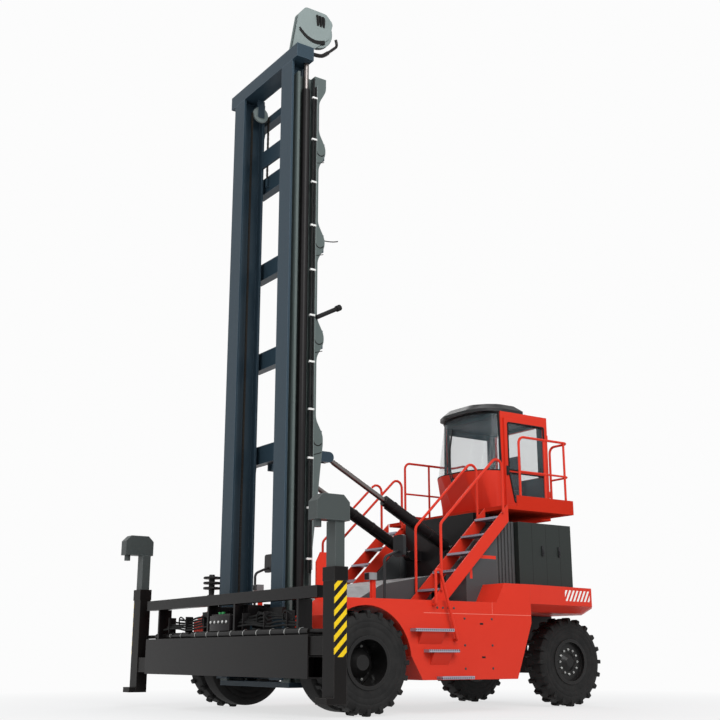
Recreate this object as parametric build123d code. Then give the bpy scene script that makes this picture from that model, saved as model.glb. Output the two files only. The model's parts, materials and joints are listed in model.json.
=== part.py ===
"""Battery-electric empty container handler with a two-stage mast and a side-lift spreader."""
from build123d import *
import os
from math import cos, pi, radians, sin, sqrt

# Sizes are millimetres. +X is the machine's left, +Z is up and the front is at -Y.
# Every Y below is measured from the drive axle. The nodes are shifted by ORIGIN_Y when written,
# which puts the origin on the ground, in the middle of the machine's box.

# Wheels and axles
TYRE_R = 685
TYRE_W = 375
TYRE_SHOULDER = 45
SHOULDER_DROP = 120
BEAD_R = 330
LUG_COUNT = 20
LUG_H = 36
LUG_SPAN = 150
LUG_W = 62
BEAD_INSET = 24
RIM_WALL = 28
RIM_LIP = 20
RIM_LIP_GAP = 3
DISC_T = 26
WHEELBASE = 4420
DRIVE_OUT_X = 2040
DUAL_GAP = 60
STEER_OUT_X = 1350
KINGPIN_X = 800
HUB_R = 200
HUB_LENGTH = 690
HUB_GAP = 6
SPINDLE_R = 90
STEER_HUB_R = 150
STEER_SPINDLE_R = 60
KINGPIN_R = 45
KNUCKLE_R = 95
AXLE_TUBE_R = 165
DIFF_R = 240
DIFF_HALF = 300
STEER_BEAM_DEPTH = 200
STEER_BEAM_H = 240
EAR_T = 60
STEER_BLOCK_X = 240
SADDLE_HALF = 132
MOTOR_R = 200
MOTOR_LENGTH = 620
RUN_FIT = 0.3
AXLE_Z = TYRE_R

# Chassis frame, bodywork and tail
FRAME_X = 480
FRAME_W = 160
FRAME_Z = 950
FRAME_H = 480
FRAME_END_Y = 3450
CROSS_Y = 20
CROSS_DEPTH = 230
SPINE_X = 300
TOW_PLATE_X = 110
TOW_PLATE_T = 50
TOW_HOLE_R = 26
JACK_PAD = 140
JACK_PAD_T = 30
JACK_PAD_Y = 2000
BODY_X = 1980
FENDER_IN_X = 1150
ARCH_GAP = 65
ARCH_FRONT_DEG = 34
ARCH_REAR_IN = 195
FENDER_T = 95
BODY_Z = 450
ARCH_FOOT_Y = 940
BODY_FOOT_Y = 2690
RAMP_Y = 2320
RAMP_RUN = 160
TAIL_Y = 3000
TAIL_Z = 1815
TAIL_END_X = 1750
TAIL_CORNER_X = 1250
TAIL_CORNER_Y = 600
TAIL_BACK_ROUND = 90
TAIL_EDGE_H = 285
TAIL_TUCK = 240
REAR_REACH = 5140
HOOD_X = 975
HOOD_Y = 480
HOOD_KNEE_Y = 980
HOOD_END_Y = 1900
HOOD_LIP_H = 110
HOOD_KNEE_H = 370
HOOD_H = 530
COVER_IN_X = 1010
COVER_X = 1500
COVER_Y = 2160
COVER_END_Y = 2780
COVER_GAP = 20

# Battery housing, pedestal, stairs and platform
BATTERY_X = 1540
BATTERY_Y = 3210
BATTERY_LENGTH = 1140
BATTERY_H = 1000
PEDESTAL_X = 900
PEDESTAL_Y = 2830
PEDESTAL_DEPTH = 350
FLOOR_Z = 3000
FLOOR_T = 60
PLATFORM_X = 1560
PLATFORM_Y = 2960
PLATFORM_END_Y = 4430
TOE_H = 230
TOE_T = 12
RAIL_R = 21
RAIL_H = 1130
RAIL_BEND = 110
RAIL_END_X = 1090
RAIL_POST_R = 19
KNEE_RAIL_R = 17
TUBE_SIDES = 12
BEND_CHORDS = 5
STAIR_IN_X = 1030
STAIR_OUT_X = 1600
STRINGER_T = 24
STRINGER_W = 190
STAIR_FOOT_Y = 1400
STAIR_RAIL_LOW = 0.12
STAIR_RAIL_HIGH = 0.92
STAIR_RAIL_H = 960
STAIR_RAIL_LAP = 20
TREAD_COUNT = 5
TREAD_DEPTH = 230
TREAD_T = 34
STEP_OUT = 130
STEP_T = 40
STEP_BRACKET_H = 170
STEP_BRACKET_OUT = 104
STEP_BRACKET_SHARE = 0.6
UPPER_STEP = (730, 1100, 680)
MIDDLE_STEP = (960, 820, 540)
LOWER_STEP = (1180, 460, 580)
GRAB_OUT = 60
GRAB_FOOT_Y = 1500
GRAB_FOOT_Z = 990
GRAB_HEAD_Y = 1210
GRAB_HEAD_Z = 1950
GRAB_END_Y = 1130
GRAB_BEND = 30
MIRROR_X = 1840
MIRROR_Y = 400
MIRROR_POST_Z = 2100
MIRROR_REACH = 240
MIRROR_RISE = 100
MIRROR_BEND = 90
MIRROR_W = 240
MIRROR_H = 300
MIRROR_T = 50
MIRROR_ROUND = 45
LAMP_X = 1600
LAMP_Y = 340
LAMP_W = 120
LAMP_H = 100
LAMP_DEPTH = 70
LAMP_POST_H = 270
LAMP_POST_W = 60
TAIL_LAMP_X = 380
TAIL_LAMP_W = 220
TAIL_LAMP_H = 130
TAIL_LAMP_DROP = 60
TAIL_LAMP_DEPTH = 25
MAST_GUARD_Y = -300
MAST_GUARD_DEPTH = 220
MAST_GUARD_H = 660
MAST_GUARD_SLOPE = 140
MAST_GUARD_T = 30
COOLER_IN_X = 1010
COOLER_X = 1440
COOLER_GAP = 10
COOLER_RIBS = 6
COOLER_RIB_W = 30
COOLER_RIB_T = 24

# Cab
CAB_X = 750
CAB_WALL = 50
CAB_FLOOR_T = 70
CAB_Y = 3620
CAB_END_Y = 4700
CAB_H = 1740
CAB_ROOF_T = 70
NOSE_Y = 3170
NOSE_CORNER_X = 640
NOSE_CORNER_Y = 3330
NOSE_FOOT_Y = 3440
NOSE_H = 640
NOSE_WALL = 36
NOSE_SIDE = 90
NOSE_ROUND = 260
NOSE_FOOT_ROUND = 90
GLASS_T = 10
GLASS_LEAN = 0.17
CAP_T = 150
CAP_OVERHANG = 90
CAP_END_Y = 4150
CAP_SLOPE = 110
DOOR_T = 42
DOOR_FRAME = 75
DOOR_LAP = 25
DOOR_SEAT = 0.3
DOOR_HINGE_R = 16
DOOR_HINGE_H = 110
DOOR_HINGE_INSET = 180
DOOR_SLANT = 110
SEAT_W = 500
SEAT_DEPTH = 500
SEAT_BACK_H = 600
SEAT_PAD_T = 120
SEAT_POST_W = 360
SEAT_POST_H = 330
SEAT_SETBACK = 140
SEAT_ROUND = 40
COLUMN_TUBE_R = 45
COLUMN_BASE = 140
COLUMN_RISE = 700
COLUMN_LEAN = 80
COLUMN_SETBACK = 200
WHEEL_R = 190
WHEEL_GRIP_R = 16
SPOKE_R = 13
BEACON_X = 300
BEACON_INSET = 110
BEACON_R = 60
BEACON_LENS_R = 51
BEACON_H = 130
BEACON_BASE_H = 30

# Mast
MAST_PIVOT_Y = -100
MAST_PIVOT_Z = 1100
MAST_PIN_R = 55
MAST_EAR_R = 88
MAST_EAR_T = 60
MAST_EAR_X = 910
MAST_FOOT_Z = 420
OUTER_X = 1000
OUTER_TIP_X = 800
OUTER_WEB_X = 840
OUTER_FRONT_Y = -620
OUTER_BACK_Y = -275
MAST_FLANGE = 35
WEB_T = 36
SIDE_PLATE_T = 30
SIDE_PLATE_Y = -225
BULGE_Y = -100
BULGE_RISE = 300
BULGE_FLAT = 70
BULGE_ROUND = 260
SIDE_PLATE_FOOT_Z = 2090
BEAM_COUNT = 4
BEAM_TOP_DROP = 1270
TILT_BEAM_RISE = 162
BEAM_H = 285
BEAM_Y = -245
BEAM_DEPTH = 145
INNER_FRONT_Y = -710
INNER_BACK_Y = -310
INNER_WEB_X = 740
INNER_OUT_X = 955
INNER_TIP_X = 620
INNER_FOOT_Z = 450
TOP_BEAM_H = 230
TOP_BEAM_X = 1100
TOP_BEAM_DEPTH = 310
TIE_H = 300
LIFT_TRAVEL = 7900
MAST_GRIP = 1400
INNER_RISE = 200
LIFT_BARREL_DROP = 270
LIFT_X = 950
LIFT_Y = -450
LIFT_BARREL_R = 68
LIFT_ROD_R = 45
SHEAVE_R = 140
SHEAVE_W = 34
SHEAVE_X = 545
SHEAVE_DROP = 250
SHEAVE_PIN_R = 30
SHEAVE_LUG = 60
CHAIN_T = 34
CHAIN_W = 30
CHAIN_PITCH = 240
CHAIN_WAIST = 7
HOSE_SHEAVE_X = 900
HOSE_SHEAVE_Y = -280
HOSE_SHEAVE_R = 330
HOSE_SHEAVE_GAP = 140
HOSE_SHEAVE_W = 70
HOSE_ARM_T = 18
HOSE_GROOVE = 60
HOSE_PIN_R = 40
HOSE_GUARD_ROUND = 90

# Tilt cylinders
TILT_X = 550
TILT_EYE_Y = 260
TILT_EYE_Z = 3680
TILT_BASE_Y = 2650
TILT_BASE_Z = 2410
TILT_BARREL_R = 85
TILT_ROD_R = 42
TILT_BARREL_LENGTH = 1500
TILT_PIN_R = 35
TILT_EYE_R = 80
TILT_EYE_PLAY = 12
TILT_EYE_W = 70
TILT_NECK = 130
TILT_LUG_T = 34
TILT_LUG_GAP = 6

# Carriage, spreader and posts
CARRIAGE_Z = 480
CARRIAGE_H = 1000
CARRIAGE_X = 612
CARRIAGE_PLATE = 28
CARRIAGE_FRONT_Y = -800
CARRIAGE_BACK_Y = -400
ROLLER_W = 105
ROLLER_INSET = 200
SHIFT_BAR_END = 40
SHIFT_BAR_DEPTH = 60
SHIFT_BAR_H = 90
SHIFT_BAR_LOW_Z = 560
SHIFT_BAR_HIGH_Z = 1330
BAR_SEAT_LOW = 60
BAR_SEAT_HIGH = 40
SHIFT_TRAVEL = 600
CLAW_X = 380
CLAW_W = 180
CLAW_T = 45
MAIN_X = 2450
MAIN_FRONT_Y = -1220
MAIN_DEPTH = 260
MAIN_Z = 500
MAIN_H = 530
MAIN_WALL = 16
CHORD_X = 2580
CHORD_Z = 1480
CHORD_H = 150
CHORD_DEPTH = 140
CHORD_Y = -1170
BEAM_FIT = 8
BEAM_PAD = 240
EXTEND_TRAVEL = 3050
BEAM_GRIP = 1600
EXTEND_BARREL_R = 50
EXTEND_ROD_R = 28
EXTEND_BARREL_IN = 900
EXTEND_BARREL_END = 50
EXTEND_SINK = 10
EXTEND_AXIS_IN = 70
EXTEND_AXIS_GAP = 110
EXTEND_ROD_LAP = 200
POST_X = 3050
POST_W = 270
POST_DEPTH = 200
POST_WALL = 16
POST_Z = 210
COLLAR_H = 170
COLLAR_T = 10
FOOT_REACH = 100
FOOT_H = 80
COLUMN_FIT = 6
COLUMN_PAD_H = 150
COLUMN_SHOW = 560
COLUMN_DOWN = 420
COLUMN_FOOT_GAP = 140
COLUMN_GRIP = 670
COLUMN_UP = 310
HEAD_H = 320
HEAD_W = 200
HEAD_FRONT = 260
HEAD_BACK = 225
HEAD_SLOPE = 90
HOOK_R = 48
HOOK_H = 90

TAIL_END_Y = REAR_REACH - TAIL_CORNER_Y
TAIL_BACK_Y = REAR_REACH - TAIL_BACK_ROUND
MAST_TOP_Z = INNER_FOOT_Z + LIFT_TRAVEL + MAST_GRIP
INNER_TOP_Z = MAST_TOP_Z + INNER_RISE
LIFT_BARREL_TOP_Z = MAST_TOP_Z - LIFT_BARREL_DROP
SHEAVE_Z = INNER_TOP_Z - SHEAVE_DROP
BEAM_TOP_Z = MAST_TOP_Z - BEAM_TOP_DROP
BEAM_PITCH = (BEAM_TOP_Z - TILT_EYE_Z - TILT_BEAM_RISE) / (BEAM_COUNT - 1)
HOSE_SHEAVE_Z = INNER_TOP_Z + TOP_BEAM_H + HOSE_SHEAVE_GAP + HOSE_SHEAVE_R
SHIFT_BAR_X = CLAW_X + CLAW_W + SHIFT_TRAVEL + SHIFT_BAR_END
BEAM_TAIL_X = MAIN_X - EXTEND_TRAVEL - BEAM_GRIP
COLUMN_Z = POST_Z + FOOT_H + COLUMN_DOWN + COLUMN_FOOT_GAP
POST_TOP_Z = COLUMN_Z + COLUMN_UP + COLUMN_GRIP
COLUMN_TOP_Z = POST_TOP_Z + COLUMN_SHOW
FRONT_REACH = -MAIN_FRONT_Y + HEAD_FRONT
ORIGIN_Y = (FRONT_REACH - REAR_REACH) / 2
ARCH_R = TYRE_R + ARCH_GAP
DECK_Z = AXLE_Z + ARCH_R + FENDER_T
FRAME_TOP_Z = FRAME_Z + FRAME_H
BATTERY_Z = TAIL_Z
CAB_FLOOR_Z = FLOOR_Z + FLOOR_T
CAB_SILL_Z = CAB_FLOOR_Z + CAB_FLOOR_T
CAB_TOP_Z = CAB_FLOOR_Z + CAB_H
NOSE_TOP_Z = CAB_SILL_Z + NOSE_H


def block(x0, x1, y0, y1, z0, z1):
    """Box between two corners."""
    return Pos((x0 + x1) / 2, (y0 + y1) / 2, (z0 + z1) / 2) * Box(x1 - x0, y1 - y0, z1 - z0)


def side_plate(outline, x0, x1):
    """Outline of (y, z) points, extruded across the machine."""
    face = make_face(Polyline([(x0, y, z) for y, z in outline], close=True))
    return extrude(face, amount=x1 - x0, dir=(1, 0, 0))


def plan_plate(outline, z0, z1):
    """Outline of (x, y) points, extruded upwards."""
    face = make_face(Polyline([(x, y, z0) for x, y in outline], close=True))
    return extrude(face, amount=z1 - z0, dir=(0, 0, 1))


def turned(profile, y, z):
    """Profile of (x, radius) points, turned about an axis across the machine at (y, z)."""
    face = make_face(Polyline([(x, 0, r) for x, r in profile], close=True))
    return Pos(0, y, z) * revolve(face, axis=Axis.X)


def bar(start, end, radius):
    """Round bar between two points."""
    line = Vector(*end) - Vector(*start)
    return extrude(Plane(origin=start, z_dir=line) * Circle(radius), amount=line.length)


def bent_tube(points, radius, bend):
    """Many-sided tube along straight runs, joined by bends of one radius in a few chords each."""
    path = FilletPolyline(*points, radius=bend)
    stops = [path @ 0]
    for edge in path.order_edges():
        steps = BEND_CHORDS if edge.geom_type == GeomType.CIRCLE else 1
        stops += [edge @ (i / steps) for i in range(1, steps + 1)]
    run = Polyline(*stops)
    section = Plane(origin=run @ 0, z_dir=run % 0) * RegularPolygon(radius, TUBE_SIDES)
    return sweep(section, path=run, transition=Transition.RIGHT)


def pair(shape):
    """A left piece and its mirror image on the right."""
    return [shape, mirror(shape, about=Plane.YZ)]


def joined(pieces):
    """Pieces fused into one."""
    return pieces[0].fuse(*pieces[1:])


def node(name, shapes):
    """Write one node, its solids moved from the drive axle to the part's origin."""
    solids = [Pos(0, ORIGIN_Y, 0) * solid for shape in shapes for solid in shape.solids()]
    export_step(Compound(solids), f"parts/{name}.step")


# Wheels and axles

def facet_face(x, radius, y):
    """Face of a regular polygon across the machine, a flat for each lug, one of them at the ground."""
    sides = 2 * LUG_COUNT
    corner = radius / cos(pi / sides)
    turns = [(i + 0.5) * 2 * pi / sides - pi / 2 for i in range(sides)]
    corners = [(x, y + corner * cos(a), AXLE_Z + corner * sin(a)) for a in turns]
    return make_face(Polyline(corners, close=True))


def tyre(mid_x, y, lugged=True):
    """Tyre carcass of flat facets, with lugs in turn on its two shoulders."""
    half = TYRE_W / 2
    shoulder = TYRE_R - SHOULDER_DROP
    tread = TYRE_R - LUG_H
    near = mid_x - half
    far = mid_x + half
    carcass = loft([
        facet_face(near, shoulder, y), facet_face(near + TYRE_SHOULDER, tread, y),
        facet_face(far - TYRE_SHOULDER, tread, y), facet_face(far, shoulder, y),
    ], ruled=True)
    bore = extrude(facet_face(near, BEAD_R, y), amount=TYRE_W, dir=(1, 0, 0))
    dishes = []
    for edge, inside in ((near, near + BEAD_INSET), (far, far - BEAD_INSET)):
        faces = [facet_face(edge, shoulder, y), facet_face(inside, BEAD_R, y)]
        dishes.append(loft(faces, ruled=True))
    carcass = carcass - bore - dishes
    if not lugged:
        return carcass
    return joined([carcass, *tyre_lugs(mid_x, y)])


def tyre_lugs(mid_x, y):
    """Lugs of a tyre, each from a shoulder towards the middle, the two shoulders in turn."""
    half = TYRE_W / 2
    shoulder = TYRE_R - SHOULDER_DROP
    root = TYRE_R - 1.5 * LUG_H
    end = half - LUG_SPAN
    outline = [
        (half, shoulder + LUG_H / 4), (half, TYRE_R - LUG_H), (half - LUG_H, TYRE_R), (end, TYRE_R),
        (end - LUG_H / 2, root), (half - LUG_SPAN / 2, root),
    ]
    face = make_face(Polyline([(x, -LUG_W / 2, -r) for x, r in outline], close=True))
    left = extrude(face, amount=LUG_W, dir=(0, 1, 0))
    right = mirror(left, about=Plane.YZ)
    place = Pos(mid_x, y, AXLE_Z)
    pitch = 180 / LUG_COUNT
    return [place * Rot(i * pitch, 0, 0) * (left if i % 2 else right) for i in range(2 * LUG_COUNT)]


def drive_tyre_mids():
    """Middles of the outer and the inner tyre of a dual wheel."""
    outer = DRIVE_OUT_X - TYRE_W / 2
    return outer, outer - TYRE_W - DUAL_GAP


def drive_rims():
    """Left dual rims on one hub: deep-dished outer disc, inner disc, planetary hub."""
    outer, inner = drive_tyre_mids()
    half = TYRE_W / 2 - BEAD_INSET
    mid = (outer + inner) / 2
    lip = BEAD_R + RIM_LIP
    well = BEAD_R - RIM_WALL
    bore = SPINDLE_R + RUN_FIT
    start = drive_hub_start()
    end = start + HUB_LENGTH
    near = half + RIM_LIP_GAP
    far = near + RIM_WALL / 2
    return turned([
        (start, bore), (start, HUB_R), (mid - DISC_T, HUB_R), (mid - DISC_T, well),
        (inner - far, well), (inner - far, lip), (inner - near, lip), (inner - near, BEAD_R),
        (inner + half, BEAD_R), (inner + half, well), (outer - half, well), (outer - half, BEAD_R),
        (outer + near, BEAD_R),
        (outer + near, lip), (outer + far, lip), (outer + far, well),
        (mid + DISC_T, well), (mid + DISC_T, HUB_R), (end - HUB_R / 2, HUB_R), (end, HUB_R / 2), (end, 0),
        (mid, 0), (mid, bore),
    ], 0, AXLE_Z)


def drive_hub_start():
    """Inner end of a drive hub, just inside its inner tyre."""
    return drive_tyre_mids()[1] - TYRE_W / 2 - RIM_WALL


def drive_axle():
    """Axle housing with differential bulge, traction motor, spindles and saddles under the frame."""
    spindle = (drive_tyre_mids()[0] + drive_tyre_mids()[1]) / 2 - HUB_GAP
    end = drive_hub_start() - HUB_GAP
    half = [
        (DIFF_HALF, DIFF_R), (DIFF_HALF + DIFF_R - AXLE_TUBE_R, AXLE_TUBE_R), (end, AXLE_TUBE_R),
        (end, SPINDLE_R), (spindle, SPINDLE_R), (spindle, 0),
    ]
    housing = turned(half + [(-x, r) for x, r in reversed(half)], 0, AXLE_Z)
    saddle = block(FRAME_X, FRAME_X + FRAME_W, -SADDLE_HALF, SADDLE_HALF, AXLE_Z, FRAME_Z)
    motor = bar((0, 0, AXLE_Z), (0, DIFF_R + MOTOR_LENGTH, AXLE_Z), MOTOR_R)
    return joined([housing, motor, *pair(saddle)])


def steer_hub_x():
    """Middle of a steered tyre."""
    return STEER_OUT_X - TYRE_W / 2


def steer_rim():
    """Left rear rim with its disc near the outer side and a hub on the spindle."""
    mid = steer_hub_x()
    half = TYRE_W / 2 - BEAD_INSET
    lip = BEAD_R + RIM_LIP
    well = BEAD_R - RIM_WALL
    bore = STEER_SPINDLE_R + RUN_FIT
    start = mid - half
    disc = mid + half - 3 * DISC_T
    near = half + RIM_LIP_GAP
    far = near + RIM_WALL / 2
    return turned([
        (start, bore), (start, STEER_HUB_R), (disc, STEER_HUB_R), (disc, well),
        (mid - far, well), (mid - far, lip), (mid - near, lip), (mid - near, BEAD_R), (mid + near, BEAD_R),
        (mid + near, lip), (mid + far, lip), (mid + far, well),
        (disc + DISC_T, well), (disc + DISC_T, STEER_HUB_R),
        (mid + half, STEER_HUB_R / 2), (mid + half, 0), (disc, 0), (disc, bore),
    ], WHEELBASE, AXLE_Z)


def knuckle():
    """Left steering knuckle: kingpin, body between the axle's ears, spindle and steering arm."""
    half = STEER_BEAM_H / 2
    reach = steer_hub_x() + TYRE_W / 2 - BEAD_INSET - 3 * DISC_T - HUB_GAP
    y = WHEELBASE
    return joined([
        bar((KINGPIN_X, y, AXLE_Z - half - EAR_T), (KINGPIN_X, y, AXLE_Z + half + EAR_T), KINGPIN_R),
        bar((KINGPIN_X, y, AXLE_Z - half + RUN_FIT), (KINGPIN_X, y, AXLE_Z + half - RUN_FIT), KNUCKLE_R),
        bar((KINGPIN_X, y, AXLE_Z), (steer_hub_x() - TYRE_W / 2, y, AXLE_Z), KNUCKLE_R),
        bar((KINGPIN_X, y, AXLE_Z), (reach, y, AXLE_Z), STEER_SPINDLE_R),
    ])


def steer_axle():
    """Rear axle beam with forked ends round the kingpins and a centre block under the frame."""
    half = STEER_BEAM_H / 2
    depth = STEER_BEAM_DEPTH / 2
    inner = KINGPIN_X - KNUCKLE_R - HUB_GAP
    beam = block(-inner, inner, WHEELBASE - depth, WHEELBASE + depth, AXLE_Z - half, AXLE_Z + half)
    pieces = [beam]
    for z in (AXLE_Z - half - EAR_T, AXLE_Z + half):
        ear = block(-KINGPIN_X, KINGPIN_X, WHEELBASE - depth, WHEELBASE + depth, z, z + EAR_T)
        pieces.append(ear)
        pieces += pair(bar((KINGPIN_X, WHEELBASE, z), (KINGPIN_X, WHEELBASE, z + EAR_T), KNUCKLE_R))
    pieces.append(block(-STEER_BLOCK_X, STEER_BLOCK_X, WHEELBASE - depth, WHEELBASE + depth, AXLE_Z, FRAME_Z))
    top = AXLE_Z + half + EAR_T
    hole = bar((KINGPIN_X, WHEELBASE, 0), (KINGPIN_X, WHEELBASE, top), KINGPIN_R + RUN_FIT)
    return joined(pieces) - pair(hole)


# Chassis

def mast_bracket(x0, x1):
    """Upright bracket plate that carries one side of a mast pin."""
    lug = bar((x0, MAST_PIVOT_Y, MAST_PIVOT_Z), (x1, MAST_PIVOT_Y, MAST_PIVOT_Z), MAST_EAR_R)
    arm = block(x0, x1, MAST_PIVOT_Y, CROSS_Y, MAST_PIVOT_Z - MAST_EAR_R, MAST_PIVOT_Z + MAST_EAR_R)
    return lug + arm


def chassis_frame():
    """Welded frame: long beams, front crossbox with mast pins, rear spine, jacking pads and tow plate."""
    gap = MAST_EAR_T / 2 + HUB_GAP
    near = MAST_EAR_X - gap
    far = MAST_EAR_X + gap
    cross = block(-FENDER_IN_X, FENDER_IN_X, CROSS_Y, CROSS_Y + CROSS_DEPTH, FRAME_Z, DECK_Z)
    pieces = [cross]
    pieces += pair(block(FRAME_X, FRAME_X + FRAME_W, CROSS_Y, FRAME_END_Y, FRAME_Z, FRAME_TOP_Z))
    pieces += pair(mast_bracket(near - MAST_EAR_T, near) + mast_bracket(far, far + MAST_EAR_T))
    pin_start = (near - MAST_EAR_T, MAST_PIVOT_Y, MAST_PIVOT_Z)
    pieces += pair(bar(pin_start, (far + MAST_EAR_T, MAST_PIVOT_Y, MAST_PIVOT_Z), MAST_PIN_R))
    outer = FRAME_X + FRAME_W
    for y in (ARCH_FOOT_Y + FRAME_W, FRAME_END_Y - FRAME_W):
        pieces.append(block(-outer, outer, y, y + FRAME_W, FRAME_Z, FRAME_TOP_Z))
    pieces.append(block(-SPINE_X, SPINE_X, FRAME_END_Y - FRAME_W, TAIL_BACK_Y, FRAME_Z, FRAME_TOP_Z))
    pieces.append(block(-TOW_PLATE_X, TOW_PLATE_X, TAIL_BACK_Y, REAR_REACH, FRAME_Z, FRAME_Z + TOW_PLATE_T))
    pad_x = FRAME_X + (FRAME_W - JACK_PAD) / 2
    pad_y = JACK_PAD_Y - JACK_PAD / 2
    pieces += pair(block(pad_x, pad_x + JACK_PAD, pad_y, pad_y + JACK_PAD, FRAME_Z - JACK_PAD_T, FRAME_Z))
    hole_y = (TAIL_BACK_Y + REAR_REACH) / 2
    tow_hole = bar((0, hole_y, FRAME_Z), (0, hole_y, FRAME_Z + TOW_PLATE_T), TOW_HOLE_R)
    return joined(pieces) - tow_hole


def body_side():
    """Left side bodywork: front fender over the duals, side box between the axles, ramp to the tail."""
    drop = sqrt(ARCH_R ** 2 - (ARCH_FOOT_Y - ARCH_REAR_IN) ** 2)
    front_y = -ARCH_R * cos(radians(ARCH_FRONT_DEG))
    front_z = AXLE_Z + ARCH_R * sin(radians(ARCH_FRONT_DEG))
    arch = ThreePointArc(
        (FENDER_IN_X, front_y, front_z),
        (FENDER_IN_X, 0, AXLE_Z + ARCH_R),
        (FENDER_IN_X, ARCH_FOOT_Y - ARCH_REAR_IN, AXLE_Z + drop),
    )
    ramp_y = RAMP_Y + RAMP_RUN
    outline = [
        (ARCH_FOOT_Y - ARCH_REAR_IN, AXLE_Z + drop), (ARCH_FOOT_Y, BODY_Z), (BODY_FOOT_Y, BODY_Z),
        (TAIL_Y, TAIL_Z - 2 * (TAIL_Z - DECK_Z)), (TAIL_Y, TAIL_Z), (ramp_y, TAIL_Z), (RAMP_Y, DECK_Z),
        (front_y / 2, DECK_Z), (front_y, front_z + 2 * FENDER_T), (front_y, front_z),
    ]
    edge = Polyline([(FENDER_IN_X, y, z) for y, z in outline])
    skin = extrude(make_face([*arch.edges(), *edge.edges()]), amount=BODY_X - FENDER_IN_X, dir=(1, 0, 0))
    inner = block(FRAME_X + FRAME_W, FENDER_IN_X, ARCH_FOOT_Y, BODY_FOOT_Y, BODY_Z, FRAME_TOP_Z)
    half = LAMP_POST_W / 2
    lamp_z = DECK_Z + LAMP_POST_H
    lamp_post = block(LAMP_X - half, LAMP_X + half, LAMP_Y, LAMP_Y + LAMP_POST_W, DECK_Z, lamp_z)
    guard_end = MAST_GUARD_Y + MAST_GUARD_DEPTH
    guard = side_plate([
        (MAST_GUARD_Y, DECK_Z), (guard_end, DECK_Z), (guard_end, DECK_Z + MAST_GUARD_H),
        (MAST_GUARD_Y + MAST_GUARD_SLOPE / 2, DECK_Z + MAST_GUARD_H),
        (MAST_GUARD_Y, DECK_Z + MAST_GUARD_H - MAST_GUARD_SLOPE),
    ], FENDER_IN_X, FENDER_IN_X + MAST_GUARD_T)
    brackets = [step_bracket(UPPER_STEP), step_bracket(MIDDLE_STEP)]
    return joined([skin, inner, lamp_post, guard, *brackets])


def tail():
    """Rear counterweight slab with tapered sides, cut corners and tucked-in lower edges."""
    def plan(tuck):
        half = [(BODY_X - tuck, TAIL_Y), (TAIL_END_X - tuck, TAIL_END_Y), (TAIL_CORNER_X - tuck, TAIL_BACK_Y)]
        half.append((TAIL_CORNER_X / 2, REAR_REACH - tuck / 2))
        return half + [(-x, y) for x, y in reversed(half)]

    edge_z = TAIL_Z - TAIL_EDGE_H
    rim = make_face(Polyline([(x, y, edge_z) for x, y in plan(0)], close=True))
    sole = make_face(Polyline([(x, y, FRAME_TOP_Z) for x, y in plan(TAIL_TUCK)], close=True))
    slab = plan_plate(plan(0), edge_z, TAIL_Z) + loft([sole, rim], ruled=True)
    return slab - pair(tail_lamp())


def hood():
    """Sloped motor cover between the fenders, on the frame's beams."""
    return side_plate([
        (HOOD_Y, FRAME_TOP_Z), (HOOD_Y, FRAME_TOP_Z + HOOD_LIP_H), (HOOD_KNEE_Y, FRAME_TOP_Z + HOOD_KNEE_H),
        (HOOD_END_Y, FRAME_TOP_Z + HOOD_H), (HOOD_END_Y, FRAME_TOP_Z),
    ], -HOOD_X, HOOD_X)


def side_cover():
    """Left cover of the power electronics under the stairs, its front edge along the stringer."""
    return side_plate([
        (COVER_Y, DECK_Z), (RAMP_Y, DECK_Z), (RAMP_Y + RAMP_RUN, TAIL_Z), (COVER_END_Y, TAIL_Z),
        (COVER_END_Y, stringer_underside(COVER_END_Y) - COVER_GAP),
        (COVER_Y, stringer_underside(COVER_Y) - COVER_GAP),
    ], COVER_IN_X, COVER_X)


def cooler():
    """Left cooler box ahead of the battery, with upright ribs on its outer face."""
    y0 = COVER_END_Y + COOLER_GAP
    y1 = BATTERY_Y - COOLER_GAP
    top = BATTERY_Z + BATTERY_H
    outline = [
        (y0, TAIL_Z), (y1, TAIL_Z), (y1, top), (PLATFORM_Y + COOLER_GAP, top),
        (PLATFORM_Y, stringer_underside(PLATFORM_Y) - COVER_GAP), (y0, stringer_underside(y0) - COVER_GAP),
    ]
    box = side_plate(outline, COOLER_IN_X, COOLER_X)
    skin = side_plate(outline, COOLER_X, COOLER_X + COOLER_RIB_T)
    pitch = (y1 - y0) / COOLER_RIBS
    bands = [
        block(COOLER_X, COOLER_X + COOLER_RIB_T, y0 + i * pitch, y0 + i * pitch + COOLER_RIB_W, TAIL_Z, top)
        for i in range(COOLER_RIBS)
    ]
    return joined([box, *[band & skin for band in bands]])


def battery():
    """Battery pack in its closed housing on the tail slab."""
    end = BATTERY_Y + BATTERY_LENGTH
    return block(-BATTERY_X, BATTERY_X, BATTERY_Y, end, BATTERY_Z, BATTERY_Z + BATTERY_H)


def tilt_lugs(y, z, root_y, high):
    """Pair of lug plates with a pin at (y, z), reaching back or forward to root_y."""
    pieces = []
    inner = TILT_EYE_W / 2 + TILT_LUG_GAP
    for x in (TILT_X - inner - TILT_LUG_T, TILT_X + inner):
        low, top = min(y, root_y), max(y, root_y)
        pieces.append(bar((x, y, z), (x + TILT_LUG_T, y, z), TILT_EYE_R))
        pieces.append(block(x, x + TILT_LUG_T, low, top, z - TILT_EYE_R, z + high))
    pin_x = inner + TILT_LUG_T
    pieces.append(bar((TILT_X - pin_x, y, z), (TILT_X + pin_x, y, z), TILT_PIN_R))
    return pieces


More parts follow.
